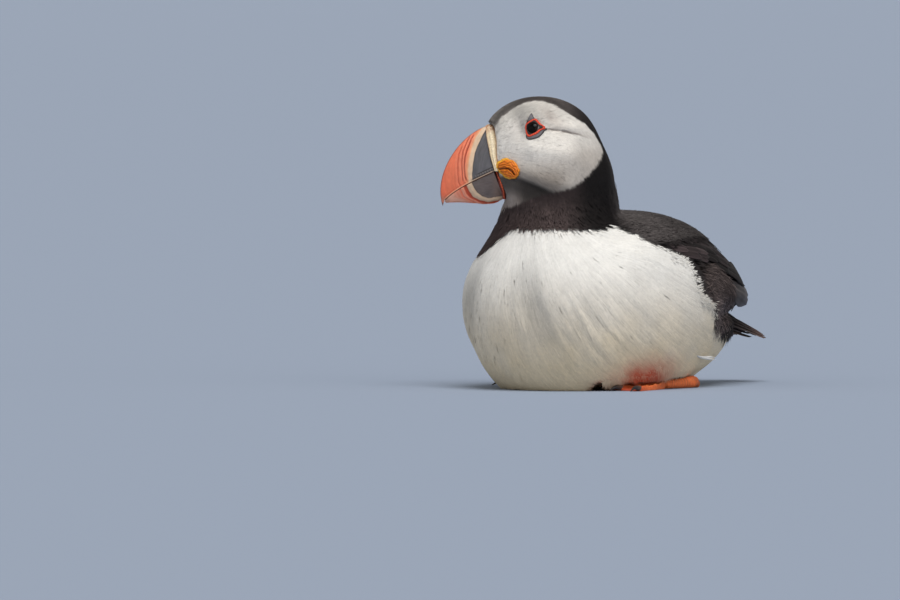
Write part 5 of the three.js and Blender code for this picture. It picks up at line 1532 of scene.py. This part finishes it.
# ------------------------------------------------------------------ feet
TOE_V = (0.06, 0.5, 0.94)
for side, fx, fy, turn, out in FEET:
    cz, sz = math.cos(turn), math.sin(turn)

    def place(L):
        return np.stack([L[:, 0] * cz - L[:, 1] * sz + fx, L[:, 0] * sz + L[:, 1] * cz + fy, L[:, 2]], 1)

    def toe_at(u, v):
        ac = (v - 0.5) * 2
        reach = 29 * (1 - 0.1 * ac**2 - 0.08 * (1 - np.abs(np.cos(2 * np.pi * v)) ** 0.5) * ease(u))
        return -reach * u, out * -ac * (3 + 8.5 * u) + out * 1.5 * u

    def foot_top(u, v):
        x, y = toe_at(u, v)
        h = 1.0 + 0.12 * np.sin(u * 40 + 6 * v) * ease(u / 0.2) * 0.6
        for i, tv in enumerate(TOE_V):
            wide = 0.052 + 0.03 * (1 - u)
            joints = 1 + 0.14 * np.cos(2 * np.pi * (u * (2.6, 3.4, 3.0)[i] + 0.15))
            scute = 1 + 0.045 * (1 - ((u * 24) % 1.0))
            h = h + 1.75 * joints * scute * (1 - 0.35 * u) * np.exp(-(((v - tv) / wide) ** 2))
        h = h + 1.7 * (1 - ease(u / 0.25))
        folds = 0.25 * (noise(np.stack([x * 0.5, y, 0 * x], 1), 1.6, 61) - 0.5) * ease(u / 0.3)
        edge = ease(v / 0.03 + 0.25) * ease((1 - v) / 0.03 + 0.25) * ease((1 - u) / 0.03 + 0.35)
        return place(np.stack([x, y, (h + folds) * edge + 0.05], 1))

    def foot_low(u, v):
        x, y = toe_at(u, v)
        return place(np.stack([x, y, 0 * x], 1))

    V, F, (U, W) = slab(foot_top, foot_low, 110, 96)
    onto = sum(np.exp(-(((W - tv) / 0.07) ** 2)) for tv in TOE_V)
    c = mix(np.tile(srgb(186, 84, 44, 1.2), (len(V), 1)), np.tile(srgb(214, 112, 58, 1.2), (len(V), 1)), clamp(onto))
    c = mix(c, np.tile(srgb(150, 48, 28, 1.2), (len(V), 1)), ease((U - 0.55) / 0.5) * 0.7)
    c = mix(c, np.tile(srgb(90, 40, 26), (len(V), 1)), clamp(onto) * bump_gauss(((U * 24) % 1.0) - 0.02, 0.10) * 0.45)
    c = c * (0.8 + 0.4 * noise(V, 2.2, 62))[:, None]
    ob = make_mesh(f"foot_{side}_look", V, F, M_FOOT, c)
    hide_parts("foot_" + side)

    t = np.linspace(0, 1, 60)
    r = 2.3 + 0.9 * np.abs(t - 0.45) ** 1.5 * 2.2 - 1.2 * ease((t - 0.88) / 0.12) - 1.2 * ease((0.1 - t) / 0.1)
    r = r * (1 + 0.02 * np.cos(2 * np.pi * t * 14))
    C = place(np.stack([0.45 + 24.5 * t, 0 * t, r], 1))
    V, F = tube(C, r, 28)
    s = np.append(np.repeat(t, 28), [0, 1])
    c = np.tile(srgb(206, 104, 54, 1.2), (len(V), 1))
    c = mix(c, np.tile(srgb(92, 40, 24), (len(V), 1)), bump_gauss(((s * 14) % 1.0) - 0.05, 0.08) * 0.5)
    c = mix(c, np.tile(srgb(130, 70, 44), (len(V), 1)), ease((s - 0.8) / 0.2) * 0.5) * (0.8 + 0.4 * noise(V, 2, 63))[:, None]
    ob = make_mesh(f"shank_{side}_look", V, F, M_FOOT, c)
    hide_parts("shank_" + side)

    for i, toe in enumerate(("outer", "middle", "inner")):
        cx, cy = [float(q[0]) for q in toe_at(np.array([1.0]), np.array([TOE_V[i]]))]
        length = (6.2, 7, 6)[i]
        t = np.linspace(0, 1, 26)
        r = 1.25 * (1 - 0.88 * t) * (1 + 0.1 * np.sin(np.pi * t))
        C = np.stack([cx + 0.9 - (length + 1.2) * t, cy + out * 1.4 * t * t * (1, 0.2, -0.6)[i], r * 1.1 + 0.9 * np.sin(np.pi * t)], 1)
        C[:, 2] = np.maximum(C[:, 2], r * 1.05)
        V, F = tube(place(C), r, 18, squash=1.05)
        V[:, 2] = np.maximum(V[:, 2], 0.02)
        s = np.append(np.repeat(t, 18), [0, 1])
        c = mix(np.tile(srgb(74, 54, 46), (len(V), 1)), np.tile(srgb(26, 20, 20), (len(V), 1)), ease(s * 1.6))
        c = c * (0.8 + 0.5 * noise(V * [0.5, 1, 1], 0.6, 64))[:, None]
        ob = make_mesh(f"claw_{toe}_{side}_look", V, F, M_CLAW, c)
        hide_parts(f"claw_{toe}_{side}")


# ------------------------------------------------------------------ vanes: flat feathers with a shaft
def blades(name, C, Nn, width, colour, uv_at, thick=0.16, cross=7, curl=0.10, tip_round=0.22, mirror=False, edge_light=1.5, tip_colour=None, cup=0.0, material=None):
    """Closed blades about centrelines C (n,K,3) with normals Nn; colour (n,3)."""
    n, K = C.shape[:2]
    T = np.gradient(C, axis=1)
    T /= np.linalg.norm(T, axis=2)[:, :, None]
    B = np.cross(Nn, T)
    B /= np.maximum(np.linalg.norm(B, axis=2), 1e-9)[:, :, None]
    N2 = np.cross(T, B)
    s = np.linspace(0, 1, K)
    prof = (0.45 + 0.55 * ease(s / 0.4)) * np.sqrt(np.maximum(1 - clamp((s - (1 - tip_round)) / tip_round) ** 2.2, 0.0016))
    j = np.linspace(-1, 1, cross)
    w = np.asarray(width)[:, None] * prof[None] / 2
    ragged = 1 + 0.05 * (noise(C.reshape(-1, 3), 1.1, 71).reshape(n, K) - 0.5)
    off = (w * ragged)[:, :, None, None] * j[None, None, :, None] * B[:, :, None]
    hgt = -(curl * w[:, :, None] * (j**2)[None, None]) + cup + 0.10 * np.exp(-((j / 0.12) ** 2))[None, None] * (1 - s)[None, :, None]
    top = C[:, :, None] + off + hgt[..., None] * N2[:, :, None]
    low = top - (thick * (1 - 0.75 * np.abs(j) ** 2)[None, None, :, None]) * N2[:, :, None]
    m = K * cross
    V = np.concatenate([top.reshape(n, m, 3), low.reshape(n, m, 3)], 1)
    F1 = [grid_faces(K, cross), grid_faces(K, cross, base=m, flip=True)]
    i, q = np.arange(K), np.arange(cross)
    loop = np.concatenate([i * cross, (K - 1) * cross + q[1:], i[::-1][1:] * cross + cross - 1, q[::-1][1:-1]])
    a, b = loop, np.roll(loop, -1)
    F1.append(np.stack([b, a, a + m, b + m], 1))
    F1 = np.concatenate(F1)
    t = F1[: (K - 1) * (cross - 1)]
    nrm = np.cross(V[0][t[:, 1]] - V[0][t[:, 0]], V[0][t[:, 2]] - V[0][t[:, 0]])
    if (nrm * N2[0].mean(0)).sum() < 0:
        F1 = F1[:, ::-1]
    F = (F1[None] + (np.arange(n) * 2 * m)[:, None, None]).reshape(-1, 4)
    S, J = np.meshgrid(s, j, indexing="ij")
    # painted shade: each blade darkens towards its root, where the next ones lap over it; its edges and tip are paler
    # and its shaft darker
    light = 0.62 + 0.38 * ease(S / 0.5)
    light = light * (1 + (edge_light - 1) * ease((np.abs(J) - 0.55) / 0.45) * ease((S - 0.2) / 0.4))
    light = light * (1 + 0.35 * (edge_light - 1) * ease((S - 0.86) / 0.14)) * (1 - 0.3 * np.exp(-((J / 0.10) ** 2)))
    light = light.ravel()
    barb = np.sin((S * 46 + np.abs(J) * 7).ravel() * 2.1) * 0.07
    cc = colour[:, None] * (light + barb)[None, :, None]
    if tip_colour is not None:
        k = ease((S.ravel() - 0.66) / 0.25)[None, :, None]
        cc = cc * (1 - k) + tip_colour * light[None, :, None] * k
    cc = np.concatenate([cc, cc * 1.1], 1).reshape(-1, 3)
    uv0 = uv_at
    loc = np.stack([S.ravel() * 0.003, (J.ravel() * 0.5 + 0.5) * 0.003], 1)
    uv = (uv0[:, None] + np.concatenate([loc, loc])[None]).reshape(-1, 2)
    V = V.reshape(-1, 3)
    if mirror:
        V = V * [1, -1, 1]
        F = F[:, ::-1]
    V[:, 2] = np.maximum(V[:, 2], 0.1)
    extra = {"along": np.tile(np.concatenate([S.ravel()] * 2), n), "across": np.tile(np.concatenate([J.ravel()] * 2), n)}
    return make_mesh(name, V, [F], material or M_VANE, np.maximum(cc, 0.002), uv, extra=extra)


def run_over(P, aim, length, K, lift0, lift1, free_from=None, stiff=0.25):
    """Centrelines from P towards aim (n,3), lying on the coat, free where it falls away."""
    n = len(P)
    f0, g = grad(coat_field, P)
    Nk = unit(g)
    D = unit(aim - P)
    D = unit(D - (D * Nk).sum(1)[:, None] * Nk)
    q = P.copy()
    C, NN = [], []
    for k in range(K):
        s = k / (K - 1)
        if k:
            q = q + D * (length / (K - 1))[:, None]
        f0, g = grad(coat_field, q)
        g2 = np.maximum((g**2).sum(1), 1e-6)
        want = lift0 + (lift1 - lift0) * s
        move = (want - f0) / g2
        move = np.where(f0 > want, move * (0.0 if s > 0.5 else stiff), move)
        move = np.clip(move, -1.5, 4)
        q2 = q + move[:, None] * g
        Nn_ = unit(g)
        Nk = unit(Nk * 0.6 + Nn_ * 0.4) if k else Nn_
        if k:
            D = unit(q2 - C[-1])
            D = unit(D * 0.7 + unit(aim - q2) * 0.3)
        C.append(q2)
        NN.append(Nk)
        q = q2
    return np.stack(C, 1), np.stack(NN, 1)


def on_wing(q1, q2):
    """The coat's surface over the left wing at wing-plane coordinates."""
    c, e1, e2, e3 = WINGS[-1]
    base = c + np.outer(q1, e1) + np.outer(q2, e2)
    lo, hi = np.full(len(base), -14.0), np.full(len(base), 34.0)
    for _ in range(30):
        m = (lo + hi) / 2
        inside = coat_field(base + m[:, None] * e3) < 0
        lo, hi = np.where(inside, m, lo), np.where(inside, hi, m)
    return base + ((lo + hi) / 2)[:, None] * e3


for side, mir in (("left", False), ("right", True)):
    rng = np.random.default_rng(71 if mir else 70)
    rows, roots, lens, wid = [], [], [], []
    for r, (q1, ln) in enumerate([(-44, 15), (-37, 16), (-30, 17), (-23, 18), (-16, 20), (-8, 22), (0, 25), (8, 28), (16, 30)]):
        q2 = np.arange(-8.5 + (r % 3) * 0.8, 19, 2.35)
        q2 = q2 + rng.normal(0, 0.35, len(q2))
        q1s = q1 + rng.normal(0, 0.9, len(q2)) + 0.10 * q2
        P = on_wing(q1s, q2)
        ok = P[:, 2] > black_line(P) + 1.5
        ok &= P[:, 1] < -0.5
        P = P[ok]
        roots.append(P)
        lens.append(np.full(len(P), ln) * rng.uniform(0.92, 1.08, len(P)))
        wid.append(np.full(len(P), 3.6 if r < 5 else 3.2))
        rows.append(np.full(len(P), r))
    P, ln, wd, rw = np.concatenate(roots), np.concatenate(lens), np.concatenate(wid), np.concatenate(rows)
    # the last rows stop short of the wing's tip
    ln = np.minimum(ln, np.maximum(9, 77.5 - P[:, 0]))
    aim = np.array([90.0, -10, 36]) + 0.0 * P
    aim[:, 1] -= 0.25 * (P[:, 1] * -1 - 20)
    soft = ease((mantle_edge(P) + 12) / 10)
    C, NN = run_over(P, aim, ln, 10, -0.9, 0.95 - 0.75 * soft)
    C = C + NN * (rng.normal(0, 0.34, len(P))[:, None, None] * np.linspace(0, 1, 10)[None, :, None])
    col = np.tile(np.array([0.025, 0.0185, 0.0195]), (len(P), 1)) * (0.22 + 1.9 * rng.random((len(P), 1)) ** 1.5)
    col = col * (1 - 0.55 * ease((P[:, :1] - 18) / 40))
    blades(f"coverts_{side}", C, NN, wd, col, skin_uv(P * ([1, -1, 1] if mir else [1, 1, 1])), mirror=mir, edge_light=1.6, thick=0.2)
    # primaries: long, stacked under the rest, their round tips painted grey: a painted sheen where the light catches
    # them
    m = 7
    q1 = np.linspace(20, 30, m)
    q2 = np.linspace(-7.5, -1.5, m)
    P = on_wing(q1, q2)
    end = np.stack([np.linspace(82.8, 79.0, m), np.linspace(-13.0, -11.5, m), np.linspace(40.2, 47.6, m)], 1)
    if mir:
        end[:, 0] -= 1.5
        end[:, 2] -= 0.8
    K = 16
    s = np.linspace(0, 1, K)
    mid = (P + end) / 2
    f0, g = grad(coat_field, mid)
    mid = mid - (f0 - 0.6)[:, None] * g
    mid = 2 * mid - (P + end) / 2
    C = (1 - s)[None, :, None] ** 2 * P[:, None] + 2 * ((1 - s) * s)[None, :, None] * mid[:, None] + (s**2)[None, :, None] * end[:, None]
    NN = np.stack([normals_at(C[:, k]) for k in range(K)], 1)
    lay = np.linspace(0.0, 1.2, m)
    C = C + NN * (lay[:, None, None] * 0.5 - 0.6 * (1 - s)[None, :, None] ** 2)
    NN[:] = unit(NN.reshape(-1, 3) * 0.7 + np.array([0.35, -0.75, 0.25]) * 0.8).reshape(NN.shape)
    col = np.tile(DARK, (m, 1)) * rng.uniform(0.9, 1.15, (m, 1))
    blades(f"primaries_{side}", C, NN, np.full(m, 7.6), col, skin_uv(P * ([1, -1, 1] if mir else [1, 1, 1])), mirror=mir, edge_light=1.3, thick=0.25, curl=0.16, tip_colour=np.array([0.135, 0.130, 0.140]))

    # the round tips of the outer two, which show below the rest; like the primaries' tips they are painted grey, a
    # painted sheen
    P = settle(np.array([[56.0, -37, 51.0], [52.0, -38, 46.5]]), 0.0, 6)
    aim = np.array([[82.0, -20, 40.0], [76.0, -25, 36.0]])
    C, NN = run_over(P, aim, np.array([23.0, 22.0]), 14, -0.9, 1.2)
    blades(f"primary_tips_{side}", C, NN, np.array([7.6, 7.2]), np.tile(np.array([0.060, 0.055, 0.058]), (2, 1)), skin_uv(P * ([1, -1, 1] if mir else [1, 1, 1])), mirror=mir, edge_light=1.3, thick=0.25, curl=0.14, tip_round=0.34, tip_colour=np.array([0.115, 0.110, 0.118]))

# two loose curved plumes over the flank
P = settle(np.array([[22.0, -40, 16.4], [25.0, -40, 14.8], [24.0, -40, 15.6]]), 0.0, 4)
aim = P + np.array([[40.0, 4, -9.5], [40.0, 3, -4], [40.0, 2, -7]])
C, NN = run_over(P, aim, np.array([19.0, 14.0, 16.5]), 14, 0.1, 1.3)
C[:, :, 2] += (0.9 * np.linspace(-1, 1, 14) ** 2)[None]
blades("plumes", C, NN, np.array([1.1, 0.9, 1.0]), np.tile(np.array([0.86, 0.84, 0.80]), (3, 1)), skin_uv(P), edge_light=1.0, thick=0.3, curl=0.3, tip_round=0.5, material=M_WHITE)

# ------------------------------------------------------------------ tail
m = 12
vv = (np.arange(m) + 0.5) / m
ac = (vv - 0.5) * 2
K = 14
s = np.linspace(0, 1, K)
X = 60 + (41.5 - 3.6 * ac[:, None] ** 2) * s[None]
u = (X - 66) / 35
half = 7.0 + 6.2 * clamp(u) ** 0.8
Y = ac[:, None] * half
Z = 37.2 - 13.6 * np.maximum(u, 0) ** 1.1 - 6.4 * ac[:, None] ** 2 * (1 - 0.45 * clamp(u)) + 0.22 * (6 - np.abs(ac[:, None] * 6))
C = np.stack([X + 0 * Y, Y, Z + 0.8 * (1 - clamp(u))], 2)
NN = np.zeros_like(C)
NN[..., 2] = 1
NN[..., 1] = (0.42 * ac)[:, None]
NN[..., 0] = 0.25
rng = np.random.default_rng(80)
col = np.tile(np.array([0.036, 0.029, 0.029]), (m, 1)) * rng.uniform(0.85, 1.15, (m, 1))
for nm, share, dz, k, tone in (("upper", 0.70, 3.6, 10, DARK * 1.0), ("middle", 0.86, 1.9, 10, DARK * 1.3), ("under", 0.80, -3.4, 10, np.array([0.056, 0.043, 0.039]))):
    a2 = (np.arange(k) + 0.5) / k * 2 - 1
    X2 = 60 + (41.5 * share - 3.0 * a2[:, None] ** 2) * s[None]
    u2 = (X2 - 66) / 35
    Y2 = a2[:, None] * (6.6 + 5.6 * clamp(u2) ** 0.8)
    Z2 = 37.2 - 13.6 * np.maximum(u2, 0) ** 1.1 - 6.0 * a2[:, None] ** 2 + dz * (1 - 0.7 * s[None] ** 2) + 0 * X2
    C2 = np.stack([X2, Y2, Z2 + 0.8 * (1 - clamp(u2))], 2)
    N3 = np.zeros_like(C2)
    N3[..., 2], N3[..., 1], N3[..., 0] = 1, (0.42 * a2)[:, None], 0.25
    blades("tail_coverts_" + nm, C2, N3, np.full(k, 6.6), np.tile(tone, (k, 1)) * rng.uniform(0.75, 1.25, (k, 1)), skin_uv(C2[:, 0]), edge_light=1.3, thick=0.3, curl=0.2, tip_round=0.4)
tail = blades("tail_feathers", C, NN, np.full(m, 8.0), col, skin_uv(C[:, 0]), edge_light=1.7, thick=0.35, curl=0.12, tip_round=0.16, tip_colour=np.array([0.078, 0.050, 0.045]))
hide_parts("tail")

# ------------------------------------------------------------------ stage, light, camera
AZ = math.radians(42)
EL = math.radians(2.0)
right = np.array([math.cos(AZ), -math.sin(AZ), 0])
ahead = np.array([math.sin(AZ) * math.cos(EL), math.cos(AZ) * math.cos(EL), -math.sin(EL)])
upv = np.cross(right, ahead)
K = 0.48
target = right * ((450 - 600) * K) + upv * ((387 - 300) * K)
cam = bpy.data.cameras.new("camera")
cam_ob = bpy.data.objects.new("camera", cam)
bpy.context.scene.collection.objects.link(cam_ob)
cam.sensor_width = 36
DIST = 6000.0
cam.lens = 36 * DIST / (900 * K)
cam_ob.location = Vector(metres(target - ahead * DIST))
cam_ob.rotation_euler = Vector(ahead).to_track_quat("-Z", "Y").to_euler()
cam.clip_end = 200
bpy.context.scene.camera = cam_ob

floor = bpy.data.meshes.new("floor")
s = 60.0
floor.from_pydata([(-s, -s, 0), (s, -s, 0), (s, s, 0), (-s, s, 0)], [], [(0, 1, 2, 3)])
floor_ob = bpy.data.objects.new("floor", floor)
bpy.context.scene.collection.objects.link(floor_ob)
m, nt, b = new_material("floor_look")
n1 = node(nt, "ShaderNodeTexNoise", Scale=3.0)
r1 = node(nt, "ShaderNodeMapRange")
r1.inputs["To Min"].default_value, r1.inputs["To Max"].default_value = 0.97, 1.03
nt.links.new(n1.outputs["Fac"], r1.inputs["Value"])
sc = node(nt, "ShaderNodeVectorMath", operation="SCALE")
sc.inputs[0].default_value = (0.291, 0.343, 0.443)
nt.links.new(r1.outputs["Result"], sc.inputs["Scale"])
nt.links.new(sc.outputs[0], b.inputs["Base Color"])
b.inputs["Roughness"].default_value = 0.95
b.inputs["Specular IOR Level"].default_value = 0.05
floor.materials.append(m)

world = bpy.data.worlds.new("studio")
world.use_nodes = True
bg = world.node_tree.nodes["Background"]
bg.inputs["Color"].default_value = (0.94, 0.94, 0.92, 1)
bg.inputs["Strength"].default_value = 0.35
bpy.context.scene.world = world


def sun(name, az, el, strength, spread, colour=(1, 1, 1)):
    """A broad soft light; az is measured from the camera's side, towards its right."""
    ang = math.atan2(-ahead[1], -ahead[0]) + az
    d = Vector((math.cos(ang) * math.cos(el), math.sin(ang) * math.cos(el), math.sin(el)))
    li = bpy.data.lights.new(name, "SUN")
    li.angle = math.radians(spread)
    li.energy = strength
    li.color = colour
    ob = bpy.data.objects.new(name, li)
    bpy.context.scene.collection.objects.link(ob)
    ob.location = d * 3
    ob.rotation_euler = (-d).to_track_quat("-Z", "Y").to_euler()
    return ob


sun("key", math.radians(10), math.radians(65), 2.42, 36, (1, 0.985, 0.955))
sun("fill", math.radians(40), math.radians(5), 1.04, 80, (1.0, 0.93, 0.83))
sun("low", math.radians(-52), math.radians(3), 0.64, 80, (1.0, 0.92, 0.80))
bpy.context.scene.view_settings.view_transform = "Standard"
